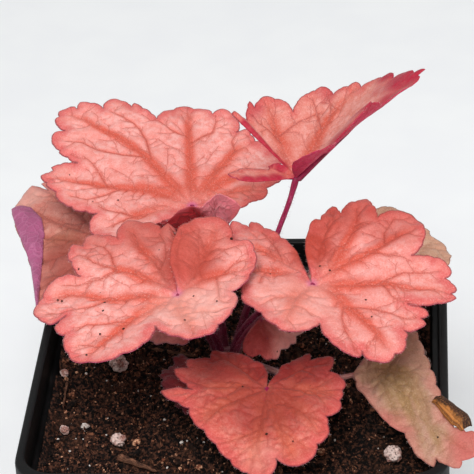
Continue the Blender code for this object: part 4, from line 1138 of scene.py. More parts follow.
def traced_margin(points, rng, ends, bulge):
    """A measured outline, each stretch swelling outward so that tips and notches stay sharp.
    Stretches that are short, that run straight outward or that end the outline stay plain."""
    points = np.array(points, dtype=float)
    for i in range(1, len(points) - 1):
        if points[i, 1] > max(points[i - 1, 1], points[i + 1, 1]):
            points[i, 1] += TOOTH_POINT
    flat = flatten(points[:, 0], points[:, 1])
    result = []
    for i in range(len(flat) - 1):
        run = flat[i + 1] - flat[i]
        length = np.linalg.norm(run)
        steps = max(1, int(length / MARGIN_STEP))
        near_end = min(abs(points[k, 0] - end) for k in (i, i + 1) for end in ends) < PLAIN_END
        radial = abs(points[i + 1, 0] - points[i, 0]) < RADIAL_TURN and length > RADIAL_LENGTH
        swell = 0.0 if near_end or radial or length < PLAIN_LENGTH else bulge
        for step in range(steps):
            t = step / steps
            out = np.array([run[1], -run[0]]) * swell * 4.0 * t * (1.0 - t)
            x, y = flat[i] + run * t + out + rng.normal(0.0, MARGIN_NOISE, 2) * (not near_end)
            guess = points[i, 0] + (points[i + 1, 0] - points[i, 0]) * t
            result.append((heading_near(x, y, guess), math.hypot(x, y)))
    result.append(tuple(points[-1]))
    return result


def fine_margin(name, leaf, rng):
    """The blade's outline as (heading, distance) pairs in order round the joint."""
    plain = lobed_margin(leaf, rng)
    if name not in MARGINS:
        return plain
    ends = (leaf["lobes"][0][0], leaf["end"][0])
    traced = traced_margin(MARGINS[name], rng, ends, SOFT_BULGE if name in SOFT_TRACED else BULGE)
    low, high = MARGINS[name][0][0], MARGINS[name][-1][0]
    if name not in PART_TRACED:
        return traced
    return [p for p in plain if p[0] < low] + traced + [p for p in plain if p[0] > high + 1.0]


def blend_by_heading(headings, knots, values):
    """Values at headings, easing smoothly from knot to knot."""
    index = np.clip(np.searchsorted(knots, headings, side="right") - 1, 0, len(knots) - 2)
    start = knots[index]
    t = smooth((headings - start) / (knots[index + 1] - start))
    return values[index] + (values[index + 1] - values[index]) * t


def blade_surface(leaf, headings, distances):
    """Places on the blade for headings and distances along the surface, as in the CAD source."""
    tips = np.array([row[3:] for row in leaf["lobes"]], dtype=float)
    notches = np.array([row[:3] for row in leaf["lobes"]] + [leaf["end"]], dtype=float)
    lift = blend_by_heading(headings, tips[:, 0], tips[:, 2])
    droop = blend_by_heading(headings, tips[:, 0], tips[:, 3])
    knots = np.sort(np.concatenate([tips[:, 0], notches[:, 0]]))
    rises = np.zeros(len(knots))
    rises[0::2] = notches[:, 2]
    lift = lift + blend_by_heading(headings, knots, rises)
    long_reach = tips[:, 1].max()
    radius = np.zeros(len(headings))
    height = np.zeros(len(headings))
    for step in range(BLADE_STEPS):
        run = distances * (step + 0.5) / BLADE_STEPS
        slope = lift + droop * (0.5 - run / long_reach)
        radius += np.cos(np.radians(slope)) * distances / BLADE_STEPS
        height += np.sin(np.radians(slope)) * distances / BLADE_STEPS
    if "lap" in leaf:
        first, last, turn, rise = leaf["lap"]
        part = smooth((headings - first) / (last - first))
        ease = 1.0 - LAP_EASE * np.clip((distances - LAP_SPAN) / LAP_SPAN, 0.0, 1.0)
        headings = headings + turn * part * ease
        height = height + rise * part * np.clip(distances / LAP_RISE_SPAN, 0.0, 1.0)
    angle = np.radians(headings)
    x, y, z = leaf["joint"]
    return np.stack([x + radius * np.cos(angle), y + radius * np.sin(angle), z + height], axis=1)


def spot_on(leaf, heading, distance):
    """One place on the blade."""
    return blade_surface(leaf, np.array([float(heading)]), np.array([float(distance)]))[0]


def flatten(headings, distances):
    """Headings and distances as flat x and y."""
    angle = np.radians(headings)
    return np.stack([distances * np.cos(angle), distances * np.sin(angle)], axis=1)


def flat_point(heading, distance):
    return flatten(np.array([float(heading)]), np.array([float(distance)]))[0]


def flat_line(points):
    return flatten(*np.array(points, dtype=float).T)


def inside_outline(points, outline):
    """Which points the closed outline holds."""
    held = np.zeros(len(points), dtype=bool)
    for a, b in zip(outline, np.roll(outline, -1, axis=0)):
        if a[1] == b[1]:
            continue
        crosses = (a[1] > points[:, 1]) != (b[1] > points[:, 1])
        cut = a[0] + (b[0] - a[0]) * (points[:, 1] - a[1]) / (b[1] - a[1])
        held ^= crosses & (points[:, 0] < cut)
    return held


def nearest(points, targets):
    """Distance from each point to its nearest target."""
    best = np.full(len(points), np.inf)
    for start in range(0, len(targets), NEAREST_BATCH):
        part = targets[start:start + NEAREST_BATCH]
        gap = np.linalg.norm(points[:, None, :] - part[None, :, :], axis=2)
        best = np.minimum(best, gap.min(axis=1))
    return best


def least_gap_squared(points, place):
    return np.min(np.sum((points - place) ** 2, axis=1))


def inner_points(outline, middle, cell):
    """A hexagonal grid of (heading, distance) inside the outline."""
    limit = np.abs(outline).max()
    rows = []
    for line in range(int(2 * limit / (cell * HEX_PITCH)) + 1):
        y = -limit + line * cell * HEX_PITCH
        x = np.arange(-limit, limit, cell) + (0.5 * cell if line % 2 else 0.0)
        rows.append(np.stack([x, np.full(len(x), y)], axis=1))
    grid = np.concatenate(rows)
    grid = grid[inside_outline(grid, outline)]
    grid = grid[nearest(grid, outline) > 0.45 * cell]
    heading = np.degrees(np.arctan2(grid[:, 1], grid[:, 0]))
    heading = (heading - middle + 180.0) % 360.0 - 180.0 + middle
    return list(zip(heading, np.hypot(grid[:, 0], grid[:, 1])))


def made_veins(leaf, rng):
    """Veins for a blade that has no measured ones: one to each tip, branches to its teeth."""
    veins = []
    for row in lobe_rows(leaf):
        before, tip, after = row
        if tip[1] < LEAST_LOBE:
            continue
        span = after[0] - before[0]
        sway = rng.uniform(-3.0, 3.0)
        veins.append((1, [(tip[0] + sway * math.sin(math.pi * t), tip[1] * (0.02 + 0.95 * t))
                          for t in np.linspace(0, 1, 9)]))
        teeth = max(2, tip[4])
        for tooth in range(teeth):
            heading = before[0] + span * (tooth + 0.5) / teeth
            if abs(heading - tip[0]) < 0.12 * span:
                continue
            end = flat_point(heading, reach_at(row, heading) - 0.7)
            leave = 0.32 + 0.4 * (1.0 - abs(heading - tip[0]) / span) + rng.uniform(-0.05, 0.05)
            start = flat_point(tip[0] + sway * math.sin(math.pi * leave), tip[1] * leave)
            along = flat_point(tip[0], 1.0)
            bend = start + 0.5 * (end - start) + along * 0.1 * np.linalg.norm(end - start)
            branch = []
            for t in np.linspace(0, 1, 6):
                x, y = start * (1 - t) ** 2 + bend * 2 * t * (1 - t) + end * t * t
                turn = (math.degrees(math.atan2(y, x)) - tip[0] + 180.0) % 360.0 - 180.0 + tip[0]
                branch.append((turn, math.hypot(x, y)))
            veins.append((2, branch))
    return veins


def side_veins(veins, outline, rng):
    """Fine branches off the given veins, each ending at the margin or where it meets another."""
    queue = list(veins)
    trail = np.zeros((TRAIL_ROOM, 2))
    owner = np.full(TRAIL_ROOM, -1)
    used = 0

    def remember(line, index):
        nonlocal used
        for a, b in zip(line[:-1], line[1:]):
            steps = np.arange(0.0, 1.0, TRAIL_STEP / max(TRAIL_STEP, np.linalg.norm(b - a)))
            trail[used:used + len(steps)] = a + (b - a) * steps[:, None]
            owner[used:used + len(steps)] = index
            used += len(steps)

    for index, (_, line) in enumerate(queue):
        remember(line, index)
    made = []
    for index, (order, line) in enumerate(queue):
        run = np.concatenate([[0.0], np.cumsum(np.linalg.norm(np.diff(line, axis=0), axis=1))])
        pitch = BRANCH_PITCH.get(order)
        at = rng.uniform(*FIRST_BRANCH) * pitch if pitch else np.inf
        side = 1.0 if rng.random() < 0.5 else -1.0
        while at < run[-1] - 0.6:
            k = min(np.searchsorted(run, at, side="right") - 1, len(line) - 2)
            way = (line[k + 1] - line[k]) / max(run[k + 1] - run[k], 1e-6)
            point = line[k] + way * (at - run[k])
            turn = math.atan2(way[1], way[0]) + side * math.radians(rng.uniform(*BRANCH_ANGLE))
            branch = [point]
            others = trail[:used][owner[:used] != index]
            for _ in range(int(rng.uniform(*BRANCH_LENGTHS) * BRANCH_REACH[order] / BRANCH_STEP)):
                turn += rng.normal(0.0, BRANCH_WANDER) - side * BRANCH_CURL
                point = point + BRANCH_STEP * np.array([math.cos(turn), math.sin(turn)])
                branch.append(point)
                if len(others) and least_gap_squared(others, point) < MEETING_GAP_SQUARED:
                    break
                if least_gap_squared(outline, point) < MARGIN_GAP_SQUARED:
                    break
            if len(branch) > 2 and inside_outline(np.array(branch[1:]), outline).all():
                branch = np.array(branch)
                remember(branch, len(queue))
                queue.append((3 if order < 3 else 4, branch))
                made.append(queue[-1])
            side = -side if rng.random() < BRANCH_SWITCH else side
            at += pitch * rng.uniform(*NEXT_BRANCH)
    return made


def vein_segments(veins):
    """Every piece of every vein: its ends, their half widths, and its order."""
    rows = []
    for order, line in veins:
        wide, thin = VEIN_WIDTHS[order]
        count = len(line) - 1
        for i in range(count):
            a = wide + (thin - wide) * i / count
            b = wide + (thin - wide) * (i + 1) / count
            rows.append((*line[i], *line[i + 1], a, b, order))
    return np.array(rows)


def vein_field(flat, segments):
    """For each point: the way to the nearest vein and its distance, both in half widths; the
    glow round main veins; how dark the nearest vein is; and the plain distance to any vein."""
    best = np.full(len(flat), np.inf)
    near = np.zeros((len(flat), 3))
    away = np.full(len(flat), np.inf)
    glow = np.zeros(len(flat))
    ink = np.zeros(len(flat))
    for x0, y0, x1, y1, a, b, order in segments:
        start = np.array([x0, y0])
        run = np.array([x1 - x0, y1 - y0])
        t = np.clip(((flat - start) @ run) / max(run @ run, 1e-9), 0.0, 1.0)
        way = start + t[:, None] * run - flat
        gap = np.linalg.norm(way, axis=1)
        half = a + (b - a) * t
        closer = gap - half < best
        best = np.where(closer, gap - half, best)
        near[closer, :2] = way[closer] / half[closer, None]
        near[closer, 2] = (gap[closer] - VEIN_CORE) / half[closer]
        middle = np.hypot(*(start + 0.5 * run))
        ink[closer] = VEIN_INK[int(order)] * min(1.0, INK_AT_JOINT + middle / INK_SPAN)
        away = np.minimum(away, gap)
        reach = (1.0 + GLOW_AT_JOINT * math.exp(-middle / GLOW_SPAN)) * VEIN_REACH[int(order)]
        glow = np.maximum(glow, VEIN_GLOW[int(order)] * np.exp(-(gap / reach) ** GLOW_FALL))
    return near, glow, ink, away


def flat_noise(flat, size, seed):
    """Smooth noise from about -1 to 1 at each flat point."""
    return np.array([noise.noise(Vector((x / size + seed, y / size - seed, 0.0))) for x, y in flat])


def blade_relief(flat, away, margin):
    """Height above the plain surface: veins sunk, flesh swollen between them, edges uneven."""
    swell, swell_span = RELIEF_SWELL
    groove, groove_span = RELIEF_GROOVE
    quilt = swell * (1.0 - np.exp(-away / swell_span)) - groove * np.exp(-(away / groove_span) ** 2)
    broad, fine, ripple = (high * flat_noise(flat, size, seed) for high, size, seed in RELIEF_NOISE)
    rim = np.exp(-margin / RIPPLE_FADE)
    fade = 1.0 - np.exp(-margin)
    return quilt * fade + broad + fine + ripple * rim


def tint_field(leaf, flat):
    """How much each point is deepened (darker red and painted shade), bleached (paler and painted
    light) and dried, from the blade's patches.
    """
    tint = np.zeros((len(flat), 3))
    for kind, heading, distance, radius, amount in leaf.get("patches", ()):
        gap = np.linalg.norm(flat - flat_point(heading, distance), axis=1)
        tint[:, kind] = np.maximum(tint[:, kind], amount * smooth((radius * 1.5 - gap) / radius))
    return tint


def on_blade(points, stain=None):
    """The vectors of points that lie on a blade, far from any vein and from the margin."""
    far = [(9.0, 9.0, 9.0)] * len(points)
    stain = [0.0] * len(points) if stain is None else stain
    return dict(vein=far, zone=far, tint=[(0.0, part, 0.0) for part in stain],
                flat=[(p[0], p[1], 0.0) for p in points])


def folded_flap(leaf, fold, free, stand, sides):
    """A turned-over edge: a thin closed sheet from the fold to its free edge."""
    fold, free = flat_line(fold), flat_line(free)
    start = math.degrees(math.atan2(fold[0, 1], fold[0, 0]))
    sheet = []
    for i in range(FLAP_LONG + 1):
        u = i / FLAP_LONG
        ends = [np.array([np.interp(u, np.linspace(0, 1, len(line)), line[:, k]) for k in range(2)])
                for line in (fold, free)]
        for j in range(FLAP_WIDE + 1):
            v = j / FLAP_WIDE
            spot = ends[0] + (ends[1] - ends[0]) * v ** 1.4
            place = spot_on(leaf, heading_near(*spot, start), math.hypot(*spot))
            lift = stand * math.sin(math.pi * min(1.0, 0.12 + 0.8 * v))
            lift *= min(1.0, 6.0 * min(u, 1.0 - u) + 0.25)
            lift += 0.25 * noise.noise(Vector((spot[0] / 2.5, spot[1] / 2.5, 7.0))) * v + 0.3
            sheet.append(place + (0.0, 0.0, lift))
    step = FLAP_WIDE + 1
    quads = [(i * step + j, i * step + j + 1, (i + 1) * step + j + 1, (i + 1) * step + j)
             for i in range(FLAP_LONG) for j in range(FLAP_WIDE)]
    triangles = np.array([t for a, b, c, d in quads for t in ((a, b, c), (a, c, d))])
    sheet = np.array(sheet)
    triangles, normals = facing_up(sheet, triangles)
    cloud = np.concatenate([sheet + normals * FLAP_HALF, sheet - normals * FLAP_HALF])
    stain = [(i % step) / FLAP_WIDE for i in range(len(cloud))]
    return cloud, *closed_sheet(triangles, len(sheet), *sides), stain


def flat_blade(name, leaf, rng):
    """The blade laid flat: its outline, then each point's heading, distance and flat place, and
    the triangles between them. Where the outline crosses itself, a point is added."""
    middle = 0.5 * (leaf["lobes"][0][0] + leaf["end"][0])
    places = fine_margin(name, leaf, rng) + [(middle, 0.0)]
    rim = len(places)
    outline = flatten(np.array([p[0] for p in places]), np.array([p[1] for p in places]))
    places += inner_points(outline, middle, leaf["cell"] * (1.0))
    headings = np.array([p[0] for p in places])
    distances = np.array([p[1] for p in places])
    corners = [Vector(p) for p in flatten(headings, distances)]
    edges = [(i, (i + 1) % rim) for i in range(rim)]
    vertices, _, faces, sources, _, _ = geometry.delaunay_2d_cdt(corners, edges, [], 1, 1e-5)
    order = np.array([origin[0] if origin else -1 for origin in sources])
    crossed = order < 0
    headings, distances = headings[order], distances[order]
    flat = np.array([vertex[:] for vertex in vertices])
    for i in np.nonzero(crossed)[0]:
        guess = headings[np.argsort(np.linalg.norm(flat - flat[i], axis=1) + 1e3 * crossed)[0]]
        headings[i] = heading_near(*flat[i], guess)
        distances[i] = np.linalg.norm(flat[i])
    return outline[:-1], headings, distances, flat, np.array(faces)


def make_blade(name, leaf, number):
    """One leaf as a thin closed sheet with its veins, relief and marginal hairs."""
    rng = np.random.default_rng(BLADE_SEED + number)
    outline, headings, distances, flat, triangles = flat_blade(name, leaf, rng)
    veins = [(order, flat_line(line)) for order, line in VEINS.get(name) or made_veins(leaf, rng)]
    veins += side_veins(veins, outline, np.random.default_rng(number))
    near, glow, ink, away = vein_field(flat, vein_segments(veins))
    to_margin = nearest(flat, outline)
    points = blade_surface(leaf, headings, distances)
    triangles, normals = facing_up(points, triangles)
    relief = blade_relief(flat + number * 37.0, away, to_margin) * leaf.get("calm", 1.0)
    middle = points + normals * relief[:, None]
    half = MARGIN_HALF + (BLADE_HALF - MARGIN_HALF) * smooth(to_margin / 1.6)
    ridge = UNDER_RIDGE * np.exp(-(away / 0.4) ** 2) * smooth(to_margin / 3.0)
    top = middle + normals * half[:, None]
    low = middle - normals * (half + ridge)[:, None]
    layers = dict(vein=near, zone=np.column_stack([to_margin, glow, ink]),
                  tint=tint_field(leaf, flatten(headings, distances)),
                  flat=np.column_stack([flat, np.full(len(flat), number * 11.0)]))
    blade = Bundle()
    blade.add(np.concatenate([top, low]), *closed_sheet(triangles, len(points), TOP, UNDER),
              **{layer: np.tile(values, (2, 1)) for layer, values in layers.items()})

    rim = boundary_edges(triangles)
    share = DYING_HAIRS if leaf["look"] == "dying" else BLADE_HAIRS
    hairs = int(len(rim) * share)
    a, b = rim[rng.integers(0, len(rim), hairs)].T
    along = middle[b] - middle[a]
    roots = 0.5 * (middle[a] + middle[b]) + along * rng.uniform(-0.5, 0.5, (hairs, 1))
    outward = np.cross(along, normals[a])
    outward /= np.maximum(np.linalg.norm(outward, axis=1, keepdims=True), 1e-9)
    rise = rng.uniform(-0.6, 0.3, (hairs, 1))
    ways = outward + normals[a] * rise + rng.normal(0, 0.25, (hairs, 3))
    lengths = rng.uniform(*BLADE_HAIR_LENGTHS, hairs)
    spikes, made = hair_cones(roots, ways, lengths, BLADE_HAIR_RADIUS)
    blade.add(spikes, made, HAIR, **on_blade(spikes))

    for heading, distance in SPECKS.get(name, ()):
        spot = spot_on(leaf, heading, distance)
        spot += normals[np.argmin(np.linalg.norm(points - spot, axis=1))] * (BLADE_HALF + SPECK_GAP)
        crumb, made = lump(rng, rng.uniform(*SPECK_SIZES), 1)
        crumb = [Vector(spot) + p for p in crumb]
        blade.add(crumb, made, SPECK, **on_blade(crumb))
    if name in FLAPS:
        sheet, made, kinds, stain = folded_flap(leaf, *FLAPS[name])
        blade.add(sheet, made, kinds, **on_blade(sheet, stain))
    blade = blade.mesh("blade_" + name[5:], LOOKS[leaf["look"]])
    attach(blade, "root")
    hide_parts(name)


# ---------------------------------------------------------------- stalks

def stalk_path(name, leaf):
    """Points from the crown to the blade's joint, on the CAD source's curve."""
    heading, steep, upright = STALKS[name]
    joint = Vector(leaf["joint"])
    start = Vector((CROWN_X, CROWN_Y, SOIL_LEVEL + 0.5 * CROWN_TOP))
    away = Vector((joint.x - start.x, joint.y - start.y, 0.0))
    start += away.normalized() * STALK_ROOT * CROWN_RADIUS
    end = joint - Vector((0.0, 0.0, JOINT_DROP))
    length = (end - start).length
    arrive = Vector((-math.cos(math.radians(heading)) * math.cos(math.radians(steep)),
                     -math.sin(math.radians(heading)) * math.cos(math.radians(steep)),
                     math.sin(math.radians(steep))))
    leave = (end - start).normalized().lerp(Vector((0.0, 0.0, 1.0)), upright).normalized()
    near = start + leave * LEAVE_REACH * length
    far = end - arrive * ARRIVE_REACH * length
    points = []
    for i in range(STALK_POINTS):
        t = i / (STALK_POINTS - 1)
        u = 1.0 - t
        points.append(start * u ** 3 + near * 3 * u * u * t + far * 3 * u * t * t + end * t ** 3)
    return points


def stalk_radius(i, leaf, number):
    """Thick and clasping at the crown, thinner above, a little uneven."""
    t = i / (STALK_POINTS - 1)
    radius = STALK_BASE + (STALK_END - STALK_BASE) * float(smooth(1.6 * t))
    radius *= 1.0 + 0.06 * noise.noise(Vector((i * 0.5, number * 9.0, 4.0)))
    radius += STALK_CLASP * max(0.0, 1.0 - t / 0.12) ** 2
    if leaf["look"] == "cupped":
        radius += 0.3 * max(0.0, (t - 0.85) / 0.15) ** 2
    return radius


def make_stalks():
    """The crown, its stalks with their midribs, and hairs, as one piece."""
    rng = np.random.default_rng(STALK_SEED)
    stalks = Bundle()
    sphere, faces = ball(5)
    crown = []
    for p in sphere:
        wide = CROWN_RADIUS * (1.0 - 0.16 * noise.noise(p * 2.3) + 0.07 * noise.noise(p * 9.0))
        tall = CROWN_TOP if p.z > 0 else CROWN_ROOT
        crown.append(Vector((CROWN_X + p.x * wide, CROWN_Y + p.y * wide, SOIL_LEVEL + p.z * tall)))
    stalks.add(crown, faces, flat=[(p.x, p.z, 0.0) for p in crown],
               tint=[CROWN_TINT] * len(crown))

    for number, (name, leaf) in enumerate(LEAVES.items()):
        points, radii = [], []
        for i, p in enumerate(stalk_path(name, leaf)):
            sway = STALK_SWAY * noise.noise(Vector((i * 0.12, number * 3.0, 0.5)))
            share = math.sin(math.pi * i / (STALK_POINTS - 1))
            points.append(p + Vector((sway, -sway, 0.0)) * share)
            radii.append(stalk_radius(i, leaf, number))
        heading, reach = max((row[3:5] for row in leaf["lobes"]), key=lambda row: row[1])
        rib = np.linspace(1.2, 0.5 * reach, RIB_STEPS)
        keel = blade_surface(leaf, np.full(RIB_STEPS, float(heading)), rib)
        for k, place in enumerate(keel):
            radius = radii[STALK_POINTS - 1] * (1.0 - 0.75 * (k + 1) / RIB_STEPS)
            sink = 0.75 * radius + (RIB_SINK if k < RIB_STEPS - 1 else 0.0)
            points.append(Vector(place) - Vector((0.0, 0.0, sink)))
            radii.append(radius)
        old = OLD_STALKS.get(leaf["look"], 0.0)
        # Each point's tint: tan for old stalks, and painted shade that is strongest at the crown and
        # fades up the stalk.
        shade = [(old, max(0.0, 0.9 - 2.2 * (k // STALK_SIDES) / STALK_POINTS), 0.0)
                 for k in range(len(points) * STALK_SIDES)]
        cloud, faces, wrap = tube(points, radii, STALK_SIDES)
        stalks.add(cloud, faces, flat=wrap, tint=shade)

        length = sum((points[i + 1] - points[i]).length for i in range(STALK_POINTS - 1))
        hairs = int(STALK_HAIRS * length)
        spots = rng.uniform(3, STALK_POINTS - 3, hairs)
        turns = rng.uniform(0, 2 * math.pi, hairs)
        roots, ways = [], []
        for spot, turn in zip(spots, turns):
            i = int(spot)
            ahead = (points[i + 1] - points[i]).normalized()
            side = ahead.orthogonal().normalized()
            out = side * math.cos(turn) + ahead.cross(side) * math.sin(turn)
            roots.append(points[i].lerp(points[i + 1], spot - i) + out * radii[i] * 0.9)
            ways.append(out + ahead * rng.uniform(-0.4, 0.4))
        lengths = rng.uniform(*STALK_HAIR_LENGTHS, hairs)
        spikes, faces = hair_cones(roots, ways, lengths, STALK_HAIR_RADIUS)
        plain = [(0.0, 0.0, 0.0)] * len(spikes)
        stalks.add(spikes, faces, 1, flat=plain, tint=plain)
    stalks = stalks.mesh("crown_and_stalks", LOOKS["stalk"])
    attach(stalks, "root")
    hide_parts("crown")


# ---------------------------------------------------------------- pot and soil

def pot_half_width(height):
    """Half the pot's outside width at a height, below its rim band."""
    low = POT_BASE / 2
    high = POT_TOP / 2 - RIM_STEP
    return low + (high - low) * height / POT_HEIGHT


def square_ring(half, radius):
    """A rounded square's points, anticlockwise."""
    points = []
    inner = half - radius
    for quarter in range(4):
        cx, cy = [(inner, inner), (-inner, inner), (-inner, -inner), (inner, -inner)][quarter]
        for step in range(CORNER_PARTS + 1):
            turn = math.radians(90.0 * quarter + 90.0 * step / CORNER_PARTS)
            points.append((cx + radius * math.cos(turn), cy + radius * math.sin(turn)))
        x0, y0 = points[-1]
        x1, y1 = [(-inner, half), (-half, -inner), (inner, -half), (half, inner)][quarter]
        for step in range(1, SIDE_PARTS):
            t = step / SIDE_PARTS
            points.append((x0 + (x1 - x0) * t, y0 + (y1 - y0) * t))
    return points


def rounded(profile, steps=4):
    """The profile with its corners rounded: points are (half width, height, radius or 0)."""
    points = []
    for i, (half, height, radius) in enumerate(profile):
        here = Vector((half, height))
        if not radius:
            points.append(here)
            continue
        before = Vector(profile[i - 1][:2])
        after = Vector(profile[i + 1][:2])
        size = min(radius, 0.45 * (before - here).length, 0.45 * (after - here).length)
        a = here + (before - here).normalized() * size
        b = here + (after - here).normalized() * size
        for step in range(steps + 1):
            t = step / steps
            points.append(a * (1 - t) ** 2 + here * 2 * t * (1 - t) + b * t * t)
    return points


def pot_profile():
    """The wall from the bottom's outside over the rim to the floor inside."""
    band = POT_HEIGHT - RIM_BAND
    top = POT_TOP / 2
    inner_top = top - RIM_LIP
    bottom = pot_half_width(0.0)
    floor = pot_half_width(POT_FLOOR) - POT_WALL
    return rounded([
        (bottom - 3.0, 0.0, 0), (bottom, 0.0, 1.6),
        *((pot_half_width(h), h, 0) for h in (10.0, 25.0, 40.0, 55.0, 70.0, 80.0)),
        (pot_half_width(band), band - 0.4, 0.6), (top, band + 0.4, 0.8), (top, POT_HEIGHT, 0.9),
        (inner_top, POT_HEIGHT, 0.9), (inner_top, band + 0.9, 0.8),
        (pot_half_width(band) - POT_WALL, band, 0.6),
        *((pot_half_width(h) - POT_WALL, h, 0) for h in (75.0, 60.0, 40.0, 20.0, 8.0)),
        (floor, POT_FLOOR, 1.6), (floor - 3.0, POT_FLOOR, 0)])


def make_pot():
    """Thin tapered walls, a rolled rim band and a floor with drainage holes."""
    rings = pot_profile()
    cloud = [(x, y, height) for half, height in rings
             for x, y in square_ring(half, POT_CORNER * half + CORNER_EXTRA)]
    size = 4 * (CORNER_PARTS + SIDE_PARTS)
    faces = []
    for level in range(len(rings) - 1):
        faces += ring_faces(level * size, (level + 1) * size, size)
    spots = [(x * DRAIN_REACH, y * DRAIN_REACH) for x in (-1, 0, 1) for y in (-1, 0, 1) if x or y]
    turns = [2 * math.pi * k / DRAIN_SIDES for k in range(DRAIN_SIDES)]
    holes = [Vector((x + DRAIN_RADIUS * math.cos(turn), y + DRAIN_RADIUS * math.sin(turn)))
             for x, y in spots for turn in turns]
    edges = [(k, (k + 1) % size) for k in range(size)]
    for first in range(size, size + len(holes), DRAIN_SIDES):
        edges += [(first + k, first + (k + 1) % DRAIN_SIDES) for k in range(DRAIN_SIDES)]
    starts = []
    for level, up in ((0, False), (len(rings) - 1, True)):
        flat = [Vector(p[:2]) for p in cloud[level * size:(level + 1) * size]] + holes
        _, _, made, sources, _, _ = geometry.delaunay_2d_cdt(flat, edges, [], 1, 1e-5)
        base = len(cloud)
        starts.append(base)
        cloud.extend([(p.x, p.y, rings[level][1]) for p in holes])
        order = [origin[0] for origin in sources]
        for face in made:
            index = [order[i] for i in face]
            middle = sum((flat[i] for i in index), Vector((0.0, 0.0))) / 3.0
            if any(math.hypot(middle.x - x, middle.y - y) < DRAIN_RADIUS * 0.98 for x, y in spots):
                continue
            index = [level * size + i if i < size else base + i - size for i in index]
            a, b, c = (Vector(cloud[i]) for i in index)
            if ((b - a).cross(c - a).z > 0) != up:
                index.reverse()
            faces.append(tuple(index))
    for first in range(0, len(holes), DRAIN_SIDES):
        faces += ring_faces(starts[0] + first, starts[1] + first, DRAIN_SIDES)
    pot = add_mesh("nursery_pot", cloud, faces, [plastic_look()])
    bm = bmesh.new()
    bm.from_mesh(pot.data)
    bmesh.ops.recalc_face_normals(bm, faces=bm.faces[:])
    bm.to_mesh(pot.data)
    bm.free()
    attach(pot, "root")
    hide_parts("pot")


def soil_height(x, y):
    """The CAD source's crumbly relief, level under grains and twigs so that they rest flat."""
    place = Vector((x, y, 0.0))
    bumps = sum(high * noise.noise(place / size) for high, size in SOIL_BUMPS)
    away = math.hypot(x - CROWN_X, y - CROWN_Y)
    height = SOIL_LEVEL + SOIL_RELIEF * bumps + SOIL_MOUND * math.exp(-(away / MOUND_REACH) ** 2)
    for x0, y0, x1, y1, radius in RESTING:
        run = Vector((x1 - x0, y1 - y0))
        along = 0.0
        if run.length > 0:
            along = max(0.0, min(1.0, Vector((x - x0, y - y0)).dot(run) / run.length_squared))
        gap = math.hypot(x - x0 - run.x * along, y - y0 - run.y * along)
        level = float(smooth((radius + LEVEL_MARGIN + LEVEL_BLEND - gap) / LEVEL_BLEND))
        height += (SOIL_LEVEL - height) * level
    return height


def bed_height(x, y):
    """The visible bed: the soil's height with crumbly grain and the heap at the left wall."""
    place = Vector((x, y, 0.0))
    rough = sum(high * noise.noise(place / size) for high, size in BED_GRAIN) - BED_DROP
    clear = min(math.hypot(x - gx, y - gy) - reach for gx, gy, reach in GRAINS)
    heap = HEAP_HEIGHT * float(smooth((-x - HEAP_START) / HEAP_WIDTH))
    heap *= float(smooth((clear - 0.5) / 2.0))
    return min(soil_height(x, y) + rough + heap, SOIL_LEVEL + SOIL_CEILING)


def make_bed(half):
    """The block of compost, with a rough top and tapered sides."""
    cells = BED_CELLS
    line = np.linspace(-half, half, cells + 1)
    cloud = []
    for y in line:
        for x in line:
            out = [max(0.0, abs(v) - half + BED_CORNER) for v in (x, y)]
            corner = max(0.0, math.hypot(*out) - BED_CORNER)
            scale = 1.0 - corner / math.hypot(x, y) if corner else 1.0
            px, py = x * scale, y * scale
            cloud.append((px, py, bed_height(px, py)))
    wide = cells + 1
    faces = []
    for j in range(cells):
        for i in range(cells):
            a = j * wide + i
            faces.append((a, a + 1, a + wide + 1, a + wide))
    rim = [i for i in range(wide)] + [j * wide + cells for j in range(1, wide)]
    rim += [cells * wide + i for i in range(cells - 1, -1, -1)]
    rim += [j * wide for j in range(cells - 1, 0, -1)]
    low = POT_FLOOR + SOIL_GAP
    shrink = (pot_half_width(low) - POT_WALL - SOIL_GAP) / half
    base = len(cloud)
    cloud += [(cloud[i][0] * shrink, cloud[i][1] * shrink, low) for i in rim]
    for k in range(len(rim)):
        following = (k + 1) % len(rim)
        faces.append((rim[following], rim[k], base + k, base + following))
    faces.append(tuple(range(base, base + len(rim)))[::-1])
    bed = add_mesh("soil_bed", cloud, faces, [earth_look("potting_earth", (5, 3, 3), (82, 50, 36))])
    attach(bed, "root")
    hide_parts("soil")


def make_crumbs(half, rng):
    """Loose crumbs on the bed in four colours; on the right side more of them are dark, as painted
    shade.
    """
    crumbs = Bundle()
    for number in range(CRUMBS):
        x, y = rng.uniform(-half + 1.0, half - 1.0, 2)
        fine = number % 4 > 0
        size = rng.uniform(*FINE_SIZES) if fine else COARSE_LEAST + COARSE_SPREAD * rng.random() ** 3
        points, made = lump(rng, size, 2 if size > 0.8 else 1)
        kind = rng.choice(4, p=FINE_KINDS if fine else COARSE_KINDS)
        if any(math.hypot(x - gx, y - gy) < reach + size for gx, gy, reach in GRAINS):
            continue
        # Painted shade: most crumbs on the right side are the dark kind.
        if x > SHADED_SIDE and number % 5 < 3:
            kind = 0
        origin = Vector((x, y, bed_height(x, y) + 0.4 * size))
        crumbs.add((origin + p for p in points), made, kind)
    crumbs = crumbs.mesh("soil_crumbs", [earth_look(*row) for row in CRUMB_LOOKS], True)
    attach(crumbs, "root")


